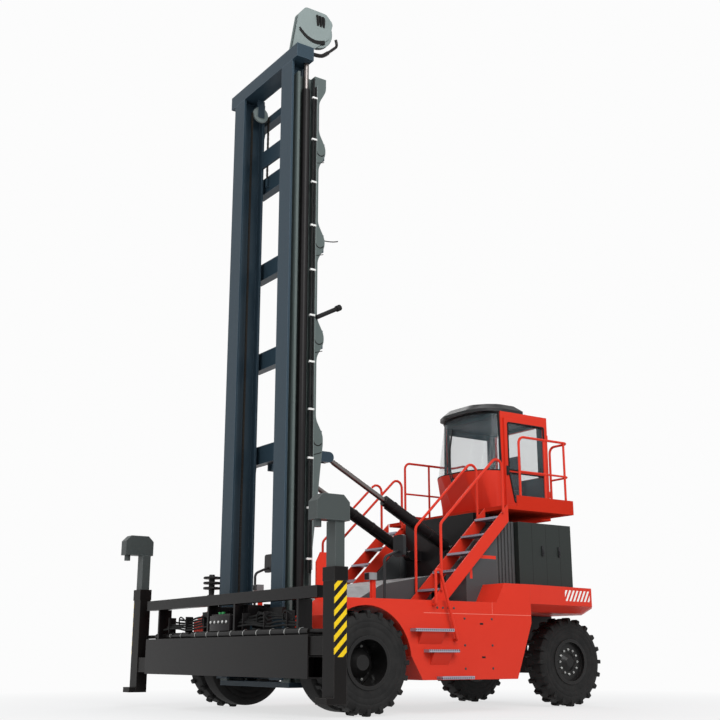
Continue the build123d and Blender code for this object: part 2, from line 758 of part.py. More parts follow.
def pedestal():
    """Upright box under the cab's front, with the tilt cylinders' lugs on its face."""
    box = block(-PEDESTAL_X, PEDESTAL_X, PEDESTAL_Y, PEDESTAL_Y + PEDESTAL_DEPTH, TAIL_Z, FLOOR_Z)
    base = block(-PEDESTAL_X, PEDESTAL_X, COVER_Y, TAIL_Y, FRAME_TOP_Z, TAIL_Z)
    lugs = joined(tilt_lugs(TILT_BASE_Y, TILT_BASE_Z, PEDESTAL_Y, TILT_EYE_R))
    return joined([box, base, *pair(lugs)])


# Access

def platform():
    """Walkway floor round the cab with toe boards along its outer edges."""
    floor = block(-PLATFORM_X, PLATFORM_X, PLATFORM_Y, PLATFORM_END_Y, FLOOR_Z, FLOOR_Z + FLOOR_T)
    tongue = block(-CAB_X, CAB_X, PLATFORM_Y, CAB_END_Y, FLOOR_Z, FLOOR_Z + FLOOR_T)
    front = PLATFORM_Y + TREAD_DEPTH
    board = block(PLATFORM_X - TOE_T, PLATFORM_X, front, PLATFORM_END_Y, FLOOR_Z, FLOOR_Z + TOE_H)
    return joined([floor, tongue, *pair(board)])


def platform_rail():
    """Left handrail frame: top and knee rails bent round the rear corner, on posts from the floor."""
    x = PLATFORM_X - TOE_T - RAIL_R
    foot = FLOOR_Z + FLOOR_T
    top = foot + RAIL_H
    knee_z = foot + RAIL_H / 2
    y0 = PLATFORM_Y + TREAD_DEPTH + RAIL_BEND
    y1 = PLATFORM_END_Y - RAIL_R
    end = RAIL_END_X
    run = [(x, y0, foot), (x, y0, top), (x, y1, top), (end, y1, top), (end, y1, foot)]
    hoop = bent_tube(run, RAIL_R, RAIL_BEND)
    knee = bent_tube([(x, y0, knee_z), (x, y1, knee_z), (end, y1, knee_z)], KNEE_RAIL_R, RAIL_BEND)
    posts = [bar((x, y, foot), (x, y, top), RAIL_POST_R) for y in ((y0 + y1) / 2, y1 - RAIL_BEND)]
    return joined([hoop, knee, *posts])


def stair_line(share):
    """Point (y, z) on the stairs' slope, from foot 0 to head 1."""
    head_y = PLATFORM_Y
    head_z = FLOOR_Z + FLOOR_T
    return STAIR_FOOT_Y + share * (head_y - STAIR_FOOT_Y), DECK_Z + share * (head_z - DECK_Z)


def stringer_underside(y):
    """Height of a stringer's lower edge at y."""
    foot_y, foot_z = stair_line(0)
    head_y, head_z = stair_line(1)
    slope = (head_z - foot_z) / (head_y - foot_y)
    return foot_z + (y - foot_y) * slope - STRINGER_W * sqrt(1 + slope ** 2)


def stringer(x):
    """Stair stringer plate from the deck to the platform's front edge."""
    foot_y, foot_z = stair_line(0)
    head_y, head_z = stair_line(1)
    toe_y = foot_y + (head_y - foot_y) * (foot_z - stringer_underside(foot_y)) / (head_z - foot_z)
    return side_plate([
        (foot_y, foot_z), (toe_y, foot_z), (head_y, stringer_underside(head_y)), (head_y, head_z),
    ], x, x + STRINGER_T)


def stair_treads():
    """Treads of the left stairs, between the stringers."""
    treads = []
    for i in range(TREAD_COUNT):
        y, z = stair_line((i + 0.6) / (TREAD_COUNT + 0.4))
        end = STAIR_OUT_X - STRINGER_T
        treads.append(block(STAIR_IN_X + STRINGER_T, end, y, y + TREAD_DEPTH, z, z + TREAD_T))
    return treads


def stair_rail(x):
    """Handrail along the stairs, on the outside of a stringer."""
    y0, z0 = stair_line(STAIR_RAIL_LOW)
    y1, z1 = stair_line(STAIR_RAIL_HIGH)
    low = -STAIR_RAIL_LAP
    high = STAIR_RAIL_H
    run = [(x, y0, z0 + low), (x, y0, z0 + high), (x, y1, z1 + high), (x, y1, z1 + low)]
    return bent_tube(run, RAIL_R, RAIL_BEND)


def side_steps():
    """Three step treads on the left body side, each lower one further back."""
    steps = []
    for y, z, length in (UPPER_STEP, MIDDLE_STEP, LOWER_STEP):
        steps.append(block(BODY_X, BODY_X + STEP_OUT, y, y + length, z, z + STEP_T))
    return steps


def step_bracket(step):
    """Wedge bracket on the left body side under a step tread."""
    y, z, length = step
    outline = [(BODY_X, z), (BODY_X + STEP_BRACKET_OUT, z), (BODY_X, z - STEP_BRACKET_H)]
    start = y + length * (1 - STEP_BRACKET_SHARE) / 2
    face = make_face(Polyline([(a, start, b) for a, b in outline], close=True))
    return extrude(face, amount=length * STEP_BRACKET_SHARE, dir=(0, 1, 0))


def grab_loop():
    """Left grab rail from the body side up over the deck edge."""
    x = BODY_X + RAIL_R + GRAB_OUT
    end_z = DECK_Z - GRAB_OUT
    return bent_tube([
        (BODY_X, GRAB_FOOT_Y, GRAB_FOOT_Z), (x, GRAB_FOOT_Y, GRAB_FOOT_Z), (x, GRAB_HEAD_Y, GRAB_HEAD_Z),
        (x, GRAB_END_Y, GRAB_HEAD_Z), (x, GRAB_END_Y, end_z), (BODY_X, GRAB_END_Y, end_z),
    ], RAIL_R, GRAB_BEND)


def mirror_arm():
    """Left mirror with round corners on a post that stands on the fender."""
    head_y = MIRROR_Y + MIRROR_REACH
    head_z = MIRROR_POST_Z + MIRROR_RISE
    post = bent_tube([
        (MIRROR_X, MIRROR_Y, DECK_Z), (MIRROR_X, MIRROR_Y, MIRROR_POST_Z), (MIRROR_X, head_y, head_z),
    ], RAIL_R, MIRROR_BEND)
    half = MIRROR_W / 2
    low = head_z - MIRROR_H / 4
    head = block(MIRROR_X - half, MIRROR_X + half, head_y, head_y + MIRROR_T, low, low + MIRROR_H)
    head = fillet(head.edges().filter_by(Axis.Y), MIRROR_ROUND)
    return post + head


def lamp_box():
    """Left work lamp on its post above the fender."""
    half = LAMP_W / 2
    foot = DECK_Z + LAMP_POST_H
    return block(LAMP_X - half, LAMP_X + half, LAMP_Y - LAMP_DEPTH, LAMP_Y + LAMP_POST_W, foot, foot + LAMP_H)


def tail_lamp():
    """Left rear lamp, flush in its pocket in the tail's rear face."""
    top = TAIL_Z - TAIL_LAMP_DROP
    end = TAIL_LAMP_X + TAIL_LAMP_W
    return block(TAIL_LAMP_X, end, REAR_REACH - TAIL_LAMP_DEPTH, REAR_REACH, top - TAIL_LAMP_H, top)


# Cab

def nose_face(lean, inset, round_r, z):
    """Plan of the cab's round front at one height, set back by a lean and inset by a wall."""
    half = [
        (CAB_X - inset, CAB_Y), (CAB_X - inset, CAB_Y - NOSE_SIDE),
        (NOSE_CORNER_X - inset, NOSE_CORNER_Y + lean / 2 + inset), (NOSE_CORNER_X / 2, NOSE_Y + lean + inset),
    ]
    points = half + [(-x, y) for x, y in reversed(half)]
    front = FilletPolyline(*[(x, y, z) for x, y in points], radius=round_r)
    back = Line(front @ 1, front @ 0)
    return make_face([*front.edges(), *back.edges()])


def nose_solid(inset):
    """Solid of the cab's lower front, leaning in towards its foot."""
    foot = nose_face(NOSE_FOOT_Y - NOSE_Y, inset, NOSE_FOOT_ROUND, CAB_SILL_Z)
    top = nose_face(0, inset, NOSE_ROUND, NOSE_TOP_Z)
    return loft([foot, top], ruled=True)


def cab_nose():
    """Opaque lower front of the cab, open at the back."""
    return nose_solid(0) - nose_solid(NOSE_WALL)


def cab_floor():
    """Cab floor plate on the platform."""
    return plan_plate([
        (CAB_X, CAB_END_Y), (CAB_X, CAB_Y - NOSE_SIDE), (NOSE_CORNER_X / 2, NOSE_FOOT_Y),
        (-NOSE_CORNER_X / 2, NOSE_FOOT_Y), (-CAB_X, CAB_Y - NOSE_SIDE), (-CAB_X, CAB_END_Y),
    ], CAB_FLOOR_Z, CAB_SILL_Z)


def cab_window():
    """Side opening of the cab, as its ranges of y and z."""
    top = CAB_TOP_Z - CAB_ROOF_T - DOOR_FRAME
    return CAB_Y + DOOR_FRAME, CAB_END_Y - DOOR_FRAME, CAB_SILL_Z + DOOR_FRAME, top


def cab_side():
    """Left side frame of the cab with its doorway or window."""
    x0 = CAB_X - CAB_WALL
    frame = block(x0, CAB_X, CAB_Y, CAB_END_Y, CAB_SILL_Z, CAB_TOP_Z - CAB_ROOF_T)
    y0, y1, z0, z1 = cab_window()
    return frame - block(x0, CAB_X, y0, y1, z0, z1)


def cab_rear():
    """Rear wall of the cab with its window."""
    inner = CAB_X - CAB_WALL
    wall = block(-inner, inner, CAB_END_Y - CAB_WALL, CAB_END_Y, CAB_SILL_Z, CAB_TOP_Z - CAB_ROOF_T)
    hole = rear_pane(CAB_WALL)
    return wall - hole


def rear_pane(thickness):
    """Glass, or the hole for it, in the rear wall."""
    half = CAB_X - CAB_WALL - 2 * DOOR_FRAME
    top = CAB_TOP_Z - CAB_ROOF_T - DOOR_FRAME
    mid = CAB_END_Y - CAB_WALL / 2
    return block(-half, half, mid - thickness / 2, mid + thickness / 2, NOSE_TOP_Z, top)


def side_pane():
    """Fixed glass in the right side frame."""
    y0, y1, z0, z1 = cab_window()
    mid = CAB_X - CAB_WALL / 2
    return block(-mid - GLASS_T / 2, -mid + GLASS_T / 2, y0, y1, z0, z1)


def windscreen():
    """Wraparound front glass that leans back from the nose to the roof cap."""
    high = CAB_TOP_Z - NOSE_TOP_Z
    lean = (0, GLASS_LEAN, 1)
    band = []
    for inset in (GLASS_T, 2 * GLASS_T):
        face = nose_face(0, inset, NOSE_ROUND, NOSE_TOP_Z)
        band.append(extrude(face, amount=high * sqrt(1 + GLASS_LEAN ** 2), dir=lean))
    keep = block(-CAB_X, CAB_X, 0, CAB_Y, NOSE_TOP_Z, CAB_TOP_Z)
    return (band[0] - band[1]) & keep


def cab_roof():
    """Rear roof panel of the cab."""
    return block(-CAB_X, CAB_X, CAB_Y, CAB_END_Y, CAB_TOP_Z - CAB_ROOF_T, CAB_TOP_Z)


def cap_face(inset, z):
    """Plan of the roof cap at one height, round in front as the windscreen is."""
    lean = GLASS_LEAN * (CAB_TOP_Z - NOSE_TOP_Z)
    front_y = NOSE_Y + lean - CAP_OVERHANG + inset
    half = [
        (CAB_X - inset, CAP_END_Y - inset), (CAB_X - inset, CAB_Y + lean - NOSE_SIDE),
        (NOSE_CORNER_X - inset, NOSE_CORNER_Y + lean - CAP_OVERHANG + inset), (NOSE_CORNER_X / 2, front_y),
    ]
    points = half + [(-x, y) for x, y in reversed(half)]
    front = FilletPolyline(*[(x, y, z) for x, y in points], radius=NOSE_ROUND)
    back = Line(front @ 1, front @ 0)
    return make_face([*front.edges(), *back.edges()])


def roof_cap():
    """Black roof cap with a front overhang above the windscreen and sloped sides."""
    edge = extrude(cap_face(0, CAB_TOP_Z), amount=CAP_T / 3, dir=(0, 0, 1))
    crown = loft([cap_face(0, CAB_TOP_Z + CAP_T / 3), cap_face(CAP_SLOPE, CAB_TOP_Z + CAP_T)], ruled=True)
    return edge + crown


def door_holes(x0, x1):
    """Upper and lower window of the door as solids. The lower one has a slanted front edge."""
    y0, y1, z0, z1 = cab_window()
    frame = DOOR_FRAME - DOOR_LAP
    front = y0 + frame
    back = y1 - frame
    upper = block(x0, x1, front, back, NOSE_TOP_Z + frame / 2, z1 - frame)
    lower_top = NOSE_TOP_Z - frame / 2
    lower = side_plate([
        (front, lower_top), (back, lower_top), (back, z0 + frame), (front + DOOR_SLANT, z0 + frame),
    ], x0, x1)
    return [upper, lower]


def cab_door():
    """Left door with its windows cut and hinge barrels at its rear edge, outside the side frame."""
    y0, y1, z0, z1 = cab_window()
    x0 = CAB_X + DOOR_SEAT
    lap = DOOR_LAP
    leaf = block(x0, x0 + DOOR_T, y0 - lap, y1 + lap, z0 - lap, z1 + lap)
    barrels = []
    for z in (z0 + DOOR_HINGE_INSET, z1 - DOOR_HINGE_INSET - DOOR_HINGE_H):
        foot = (x0 + DOOR_T, y1 + lap, z)
        barrels.append(bar(foot, (x0 + DOOR_T, y1 + lap, z + DOOR_HINGE_H), DOOR_HINGE_R))
    return joined([leaf - door_holes(x0, x0 + DOOR_T), *barrels])


def door_panes():
    """Upper and lower glass of the door."""
    x0 = CAB_X + DOOR_SEAT + (DOOR_T - GLASS_T) / 2
    return door_holes(x0, x0 + GLASS_T)


def seat():
    """Operator's seat with rounded cushion and backrest on its post."""
    mid = (CAB_Y + CAB_END_Y) / 2 + SEAT_SETBACK
    half = SEAT_W / 2
    post_half = SEAT_POST_W / 2
    pad_z = CAB_SILL_Z + SEAT_POST_H
    top = pad_z + SEAT_PAD_T
    front = mid - SEAT_DEPTH / 2
    back = mid + SEAT_DEPTH / 2
    post = block(-post_half, post_half, mid - post_half, mid + post_half, CAB_SILL_Z, pad_z)
    cushion = block(-half, half, front, back, pad_z, top)
    cushion = fillet(cushion.edges().filter_by(Axis.X).group_by(Axis.Y)[0], SEAT_ROUND)
    rest = block(-half, half, back - SEAT_PAD_T, back, top, top + SEAT_BACK_H)
    rest = fillet(rest.edges().filter_by(Axis.Y).group_by(Axis.Z)[-1], 2 * SEAT_ROUND)
    return joined([post, cushion, rest])


def console():
    """Steering column with a round wheel on three spokes, in front of the seat."""
    y = NOSE_FOOT_Y + COLUMN_SETBACK
    half = COLUMN_BASE / 2
    base = block(-half, half, y - half, y + half, CAB_SILL_Z, CAB_SILL_Z + COLUMN_BASE)
    hub = (0, y + COLUMN_LEAN, CAB_SILL_Z + COLUMN_RISE)
    column = bar((0, y, CAB_SILL_Z + half), hub, COLUMN_TUBE_R)
    tilt = Plane(origin=hub, z_dir=(0, COLUMN_LEAN, COLUMN_RISE - half), x_dir=(1, 0, 0))
    wheel = tilt * Torus(WHEEL_R, WHEEL_GRIP_R)
    spokes = []
    for turn in (30, 150, 270):
        tip = tilt.from_local_coords((WHEEL_R * cos(radians(turn)), WHEEL_R * sin(radians(turn)), 0))
        spokes.append(bar(hub, (tip.X, tip.Y, tip.Z), SPOKE_R))
    return joined([base, column, wheel, *spokes])


def beacon():
    """Round warning lamp with a domed lens on the rear roof."""
    y = CAB_END_Y - BEACON_INSET
    base = bar((BEACON_X, y, CAB_TOP_Z), (BEACON_X, y, CAB_TOP_Z + BEACON_BASE_H), BEACON_R)
    lens_top = CAB_TOP_Z + BEACON_H
    lens = bar((BEACON_X, y, CAB_TOP_Z + BEACON_BASE_H), (BEACON_X, y, lens_top), BEACON_LENS_R)
    lens = fillet(lens.edges().group_by(Axis.Z)[-1], BEACON_LENS_R / 2)
    return base + lens


# Mast

def outer_rail():
    """Left outer mast rail: I-section upright, wavy side plate, foot ear and cylinder seat."""
    back = OUTER_BACK_Y - MAST_FLANGE
    rail = joined([
        block(OUTER_TIP_X, OUTER_X, OUTER_FRONT_Y, OUTER_FRONT_Y + MAST_FLANGE, MAST_FOOT_Z, MAST_TOP_Z),
        block(OUTER_WEB_X, OUTER_WEB_X + WEB_T, OUTER_FRONT_Y, OUTER_BACK_Y, MAST_FOOT_Z, MAST_TOP_Z),
        block(OUTER_TIP_X, OUTER_X, back, OUTER_BACK_Y, MAST_FOOT_Z, MAST_TOP_Z),
    ])
    edge = [
        (OUTER_BACK_Y, MAST_TOP_Z), (BULGE_Y, MAST_TOP_Z), (BULGE_Y, MAST_TOP_Z - BEAM_H / 2 - BULGE_FLAT),
        (SIDE_PLATE_Y, MAST_TOP_Z - BEAM_H / 2 - BULGE_RISE),
    ]
    for i in range(BEAM_COUNT):
        z = BEAM_TOP_Z - i * BEAM_PITCH
        edge += [(SIDE_PLATE_Y, z + BULGE_RISE), (BULGE_Y, z + BULGE_FLAT), (BULGE_Y, z - BULGE_FLAT)]
        if i < BEAM_COUNT - 1:
            edge.append((SIDE_PLATE_Y, z - BULGE_RISE))
    edge.append((OUTER_BACK_Y, SIDE_PLATE_FOOT_Z))
    wave = FilletPolyline(*[(OUTER_X - SIDE_PLATE_T, y, z) for y, z in edge[1:]], radius=BULGE_ROUND)
    rest = Polyline([wave @ 1, (OUTER_X - SIDE_PLATE_T, *edge[0]), wave @ 0])
    plate = extrude(make_face([*wave.edges(), *rest.edges()]), amount=SIDE_PLATE_T, dir=(1, 0, 0))
    x0 = MAST_EAR_X - MAST_EAR_T / 2
    x1 = MAST_EAR_X + MAST_EAR_T / 2
    ear = block(x0, x1, OUTER_BACK_Y, MAST_PIVOT_Y, MAST_PIVOT_Z - MAST_EAR_R, MAST_PIVOT_Z + MAST_EAR_R)
    ear += bar((x0, MAST_PIVOT_Y, MAST_PIVOT_Z), (x1, MAST_PIVOT_Y, MAST_PIVOT_Z), MAST_EAR_R)
    hole = bar((x0, MAST_PIVOT_Y, MAST_PIVOT_Z), (x1, MAST_PIVOT_Y, MAST_PIVOT_Z), MAST_PIN_R + RUN_FIT)
    seat_z = MAST_FOOT_Z + 2 * MAST_FLANGE
    r = LIFT_BARREL_R
    shelf = block(OUTER_WEB_X, LIFT_X + r, LIFT_Y - r, LIFT_Y + r, MAST_FOOT_Z, seat_z)
    return joined([rail, plate, ear, shelf]) - hole


def outer_beams():
    """Crossbeams of the outer mast at its bulges, top tie and foot tie, with the tilt lugs."""
    side = OUTER_X - SIDE_PLATE_T
    beams = []
    for i in range(BEAM_COUNT):
        z = BEAM_TOP_Z - i * BEAM_PITCH
        beam = block(-side, side, BEAM_Y, BEAM_Y + BEAM_DEPTH, z - BEAM_H / 2, z + BEAM_H / 2)
        if i == BEAM_COUNT - 1:
            lugs = joined(tilt_lugs(TILT_EYE_Y, TILT_EYE_Z, BEAM_Y + BEAM_DEPTH, TILT_EYE_R))
            beam = joined([beam, *pair(lugs)])
        if i == 0:
            w = SHEAVE_W / 2 + HUB_GAP
            low = z - BEAM_H / 4
            front = chain_back_y() - CHAIN_T / 2
            lug = block(SHEAVE_X - w, SHEAVE_X + w, front, BEAM_Y, low, chain_anchor_z())
            beam = joined([beam, *pair(lug)])
        beams.append(beam)
    top = MAST_TOP_Z - BEAM_H / 2
    beams.append(block(-side, side, BEAM_Y, BEAM_Y + BEAM_DEPTH, top, MAST_TOP_Z))
    foot = MAST_FOOT_Z - 2 * MAST_FLANGE
    beams.append(block(-OUTER_X, OUTER_X, OUTER_FRONT_Y, OUTER_BACK_Y, foot, MAST_FOOT_Z))
    return beams


def lift_barrel():
    """Left lift cylinder barrel in the outer rail's recess."""
    foot = MAST_FOOT_Z + 2 * MAST_FLANGE
    top = (LIFT_X, LIFT_Y, LIFT_BARREL_TOP_Z)
    tube = bar((LIFT_X, LIFT_Y, foot), top, LIFT_BARREL_R)
    bore = bar((LIFT_X, LIFT_Y, foot + LIFT_BARREL_R), top, LIFT_ROD_R + RUN_FIT)
    return tube - bore


def lift_rod():
    """Left lift cylinder rod under the inner mast's top beam."""
    foot = MAST_FOOT_Z + 2 * MAST_FLANGE + 2 * LIFT_BARREL_R
    return bar((LIFT_X, LIFT_Y, foot), (LIFT_X, LIFT_Y, INNER_TOP_Z), LIFT_ROD_R)


def inner_rail():
    """Left inner mast rail, its channel open inwards for the carriage rollers, with a slide pad."""
    web_out = INNER_WEB_X + WEB_T
    flange = INNER_FRONT_Y + MAST_FLANGE
    pad_y = flange + MAST_FLANGE
    pad_end = OUTER_FRONT_Y + MAST_FLANGE
    return joined([
        block(INNER_TIP_X, INNER_OUT_X, INNER_FRONT_Y, flange, INNER_FOOT_Z, INNER_TOP_Z),
        block(INNER_WEB_X, web_out, INNER_FRONT_Y, INNER_BACK_Y, INNER_FOOT_Z, INNER_TOP_Z),
        block(INNER_TIP_X, web_out, INNER_BACK_Y - MAST_FLANGE, INNER_BACK_Y, INNER_FOOT_Z, INNER_TOP_Z),
        block(web_out, OUTER_TIP_X - RUN_FIT, pad_y, pad_end, INNER_FOOT_Z, INNER_FOOT_Z + TIE_H),
    ])


def inner_beams():
    """Top beam of the inner mast with sheave brackets, and the ties behind its rails."""
    back = INNER_FRONT_Y + TOP_BEAM_DEPTH
    top = block(-TOP_BEAM_X, TOP_BEAM_X, INNER_FRONT_Y, back, INNER_TOP_Z, INNER_TOP_Z + TOP_BEAM_H)
    pieces = [top]
    for x in (SHEAVE_X - SHEAVE_W, SHEAVE_X + SHEAVE_W / 2 + HUB_GAP):
        w = SHEAVE_W / 2 - HUB_GAP
        front = sheave_y() - SHEAVE_LUG
        plate = block(x, x + w, front, front + 2 * SHEAVE_LUG, SHEAVE_Z - SHEAVE_LUG, INNER_TOP_Z)
        pieces += pair(plate)
    pin_start = (SHEAVE_X - SHEAVE_W, sheave_y(), SHEAVE_Z)
    pieces += pair(bar(pin_start, (SHEAVE_X + SHEAVE_W, sheave_y(), SHEAVE_Z), SHEAVE_PIN_R))
    ties = []
    for z in (INNER_FOOT_Z, INNER_TOP_Z - 4 * TIE_H):
        ties.append(block(-INNER_TIP_X, INNER_TIP_X, INNER_BACK_Y - MAST_FLANGE, INNER_BACK_Y, z, z + TIE_H))
    return [joined(pieces), *ties]


def sheave_y():
    """Axis of a chain sheave, midway between the chain's two strands."""
    return (chain_front_y() + chain_back_y()) / 2


def chain_back_y():
    """Middle of the chain strand that runs down between the two masts."""
    return (INNER_BACK_Y + BEAM_Y) / 2 - HUB_GAP / 2 - 1


def chain_front_y():
    """Middle of the chain strand that carries the carriage."""
    return chain_back_y() - 2 * SHEAVE_R - CHAIN_T


def chain_anchor_z():
    """Top of the lug on the top crossbeam that holds the chain's fixed end."""
    return BEAM_TOP_Z + BEAM_H / 4


def chain_sheave():
    """Left chain sheave, a grooved wheel on its pin."""
    half = SHEAVE_W / 2
    bore = SHEAVE_PIN_R + RUN_FIT
    section = [(-half, bore), (-half, SHEAVE_R), (half, SHEAVE_R), (half, bore)]
    return turned([(SHEAVE_X + a, b) for a, b in section], sheave_y(), SHEAVE_Z)


def chain_strand(y, z0):
    """One straight strand of the left leaf chain, waisted between its links, up to the sheave's axis."""
    w = CHAIN_W / 2
    t = CHAIN_T / 2
    links = int((SHEAVE_Z - z0) // CHAIN_PITCH)
    back = [(y + t, z0)]
    for i in range(links):
        z = z0 + i * CHAIN_PITCH
        waist = y + t - CHAIN_WAIST
        back += [(y + t, z + CHAIN_PITCH / 2), (waist, z + CHAIN_PITCH * 0.75), (y + t, z + CHAIN_PITCH)]
    back.append((y + t, SHEAVE_Z))
    front = [(2 * y - a, z) for a, z in reversed(back)]
    return side_plate(back + front, SHEAVE_X - w, SHEAVE_X + w)


def hose_sheave():
    """Hose sheave above the left rail: grooved wheel on a pin in two guard plates on the top beam."""
    half = HOSE_SHEAVE_W / 2
    r = HOSE_SHEAVE_R
    y = HOSE_SHEAVE_Y
    z = HOSE_SHEAVE_Z
    rim = [(-half, r), (-half / 3, r - HOSE_GROOVE), (half / 3, r - HOSE_GROOVE), (half, r)]
    bore = HOSE_PIN_R + RUN_FIT
    wheel = turned([(HOSE_SHEAVE_X + a, b) for a, b in [(-half, bore), *rim, (half, bore)]], y, z)
    foot = INNER_TOP_Z + TOP_BEAM_H
    outline = [
        (INNER_FRONT_Y, foot), (INNER_FRONT_Y + TOP_BEAM_DEPTH, foot), (y + r * 0.8, z - r * 0.3),
        (y + r, z + r * 0.6), (y + r * 0.6, z + r), (y - r * 0.6, z + r), (y - r, z + r * 0.5),
    ]
    inside = HOSE_SHEAVE_X + half + HUB_GAP
    reach = half + HUB_GAP + HOSE_ARM_T
    face = make_face(Polyline([(inside, a, b) for a, b in outline], close=True))
    face = fillet(face.vertices().sort_by(Axis.Z)[2:], HOSE_GUARD_ROUND)
    near = extrude(face, amount=HOSE_ARM_T, dir=(1, 0, 0))
    far = Pos(-2 * (half + HUB_GAP) - HOSE_ARM_T, 0, 0) * near
    pin = bar((HOSE_SHEAVE_X - reach, y, z), (HOSE_SHEAVE_X + reach, y, z), HOSE_PIN_R)
    return [wheel, joined([near, far, pin])]


# Tilt cylinders

def tilt_direction():
    """Unit vector from the chassis pin to the mast pin of a tilt cylinder, as (y, z)."""
    dy = TILT_EYE_Y - TILT_BASE_Y
    dz = TILT_EYE_Z - TILT_BASE_Z
    length = sqrt(dy ** 2 + dz ** 2)
    return dy / length, dz / length


def tilt_point(distance):
    """Point on the left tilt cylinder's line, measured from its chassis pin."""
    dy, dz = tilt_direction()
    return TILT_X, TILT_BASE_Y + dy * distance, TILT_BASE_Z + dz * distance


def tilt_length():
    """Distance between the pins of a tilt cylinder at rest."""
    return sqrt((TILT_EYE_Y - TILT_BASE_Y) ** 2 + (TILT_EYE_Z - TILT_BASE_Z) ** 2)


def eye(y, z, hole_r):
    """Eye boss of a tilt cylinder, with its pin hole kept for the caller to cut."""
    w = TILT_EYE_W / 2
    boss = bar((TILT_X - w, y, z), (TILT_X + w, y, z), TILT_EYE_R)
    hole = bar((TILT_X - w, y, z), (TILT_X + w, y, z), hole_r)
    return boss, hole


def tilt_barrel():
    """Left tilt cylinder barrel with its eye on the chassis pin."""
    boss, hole = eye(TILT_BASE_Y, TILT_BASE_Z, TILT_PIN_R + RUN_FIT)
    tube = bar(tilt_point(TILT_NECK), tilt_point(TILT_BARREL_LENGTH), TILT_BARREL_R)
    slot = bar(tilt_point(2 * TILT_EYE_R), tilt_point(TILT_BARREL_LENGTH), TILT_ROD_R + RUN_FIT)
    shank = bar(tilt_point(0), tilt_point(TILT_NECK), TILT_EYE_W / 2)
    return joined([boss, tube, shank]) - slot - hole


def tilt_rod():
    """Left tilt cylinder rod with its eye on the mast pin, loose enough to follow the tilt."""
    boss, hole = eye(TILT_EYE_Y, TILT_EYE_Z, TILT_PIN_R + TILT_EYE_PLAY)
    neck = tilt_length() - TILT_NECK
    rod = bar(tilt_point(TILT_BARREL_LENGTH / 2), tilt_point(neck), TILT_ROD_R)
    shank = bar(tilt_point(neck), tilt_point(tilt_length()), TILT_EYE_W / 2)
    return joined([boss, rod, shank]) - hole


# Carriage and spreader

def carriage():
    """Lift carriage: side plates with rollers, cross members and the bars the spreader slides on."""
    inner = CARRIAGE_X - CARRIAGE_PLATE
    top = CARRIAGE_Z + CARRIAGE_H
    pieces = pair(block(inner, CARRIAGE_X, CARRIAGE_FRONT_Y, CARRIAGE_BACK_Y, CARRIAGE_Z, top))
    front = INNER_FRONT_Y + MAST_FLANGE
    back = INNER_BACK_Y - MAST_FLANGE
    roller_r = (back - front) / 2 - RUN_FIT
    mid = (front + back) / 2
    for z in (CARRIAGE_Z + ROLLER_INSET, top - ROLLER_INSET):
        roller_x = CARRIAGE_X + HUB_GAP * 2
        pieces += pair(bar((CARRIAGE_X, mid, z), (roller_x, mid, z), roller_r / 2))
        pieces += pair(bar((roller_x, mid, z), (roller_x + ROLLER_W, mid, z), roller_r))
    for z in (SHIFT_BAR_LOW_Z, SHIFT_BAR_HIGH_Z):
        seat_y = CARRIAGE_FRONT_Y + CARRIAGE_PLATE
        seat_top = z + SHIFT_BAR_H + BAR_SEAT_HIGH
        pieces.append(block(-inner, inner, CARRIAGE_FRONT_Y, seat_y, z - BAR_SEAT_LOW, seat_top))
        pieces.append(shift_bar(z))
    anchor_z = top - 2 * CARRIAGE_PLATE
    w = CHAIN_W / 2 + HUB_GAP
    chain_y = chain_front_y()
    pieces += pair(block(SHEAVE_X - w, inner, chain_y - CHAIN_T, chain_y + CHAIN_T, anchor_z, top))
    return joined(pieces)


def shift_bar(z):
    """Horizontal bar on the carriage's front, on which the spreader shifts sideways."""
    front = CARRIAGE_FRONT_Y - SHIFT_BAR_DEPTH
    return block(-SHIFT_BAR_X, SHIFT_BAR_X, front, CARRIAGE_FRONT_Y, z, z + SHIFT_BAR_H)


def spreader_frame():
    """Spreader frame: twin-bore main beam, upper chord, webs and claws round the carriage's bars."""
    back = MAIN_FRONT_Y + MAIN_DEPTH
    main = block(-MAIN_X, MAIN_X, MAIN_FRONT_Y, back, MAIN_Z, MAIN_Z + MAIN_H)
    for low in (False, True):
        z0, z1 = beam_bore(low)
        main -= block(-MAIN_X, MAIN_X, MAIN_FRONT_Y + MAIN_WALL, back - MAIN_WALL, z0, z1)
    pieces = [main]
    pieces.append(block(-CHORD_X, CHORD_X, CHORD_Y, CHORD_Y + CHORD_DEPTH, CHORD_Z, CHORD_Z + CHORD_H))
    bar_front = CARRIAGE_FRONT_Y - SHIFT_BAR_DEPTH
    for x in (CLAW_X, MAIN_X - 2 * CLAW_W):
        pieces += pair(block(x, x + CLAW_T, CHORD_Y, back, MAIN_Z + MAIN_H, CHORD_Z))
    for z in (SHIFT_BAR_LOW_Z, SHIFT_BAR_HIGH_Z):
        claw = block(
            CLAW_X, CLAW_X + CLAW_W, CHORD_Y + CHORD_DEPTH, CARRIAGE_FRONT_Y - HUB_GAP,
            z - CLAW_T, z + SHIFT_BAR_H + CLAW_T,
        )
        bar_top = z + SHIFT_BAR_H + RUN_FIT
        claw -= block(CLAW_X, CLAW_X + CLAW_W, bar_front - RUN_FIT, CARRIAGE_FRONT_Y, z - RUN_FIT, bar_top)
        claw -= block(CLAW_X, CLAW_X + CLAW_W, MAIN_FRONT_Y, back, MAIN_Z, MAIN_Z + MAIN_H)
        pieces += pair(claw)
    left, left_bore = extend_barrel(False)
    right, right_bore = extend_barrel(True)
    pieces += [left, mirror(right, about=Plane.YZ)]
    return joined(pieces) - left_bore - mirror(right_bore, about=Plane.YZ)


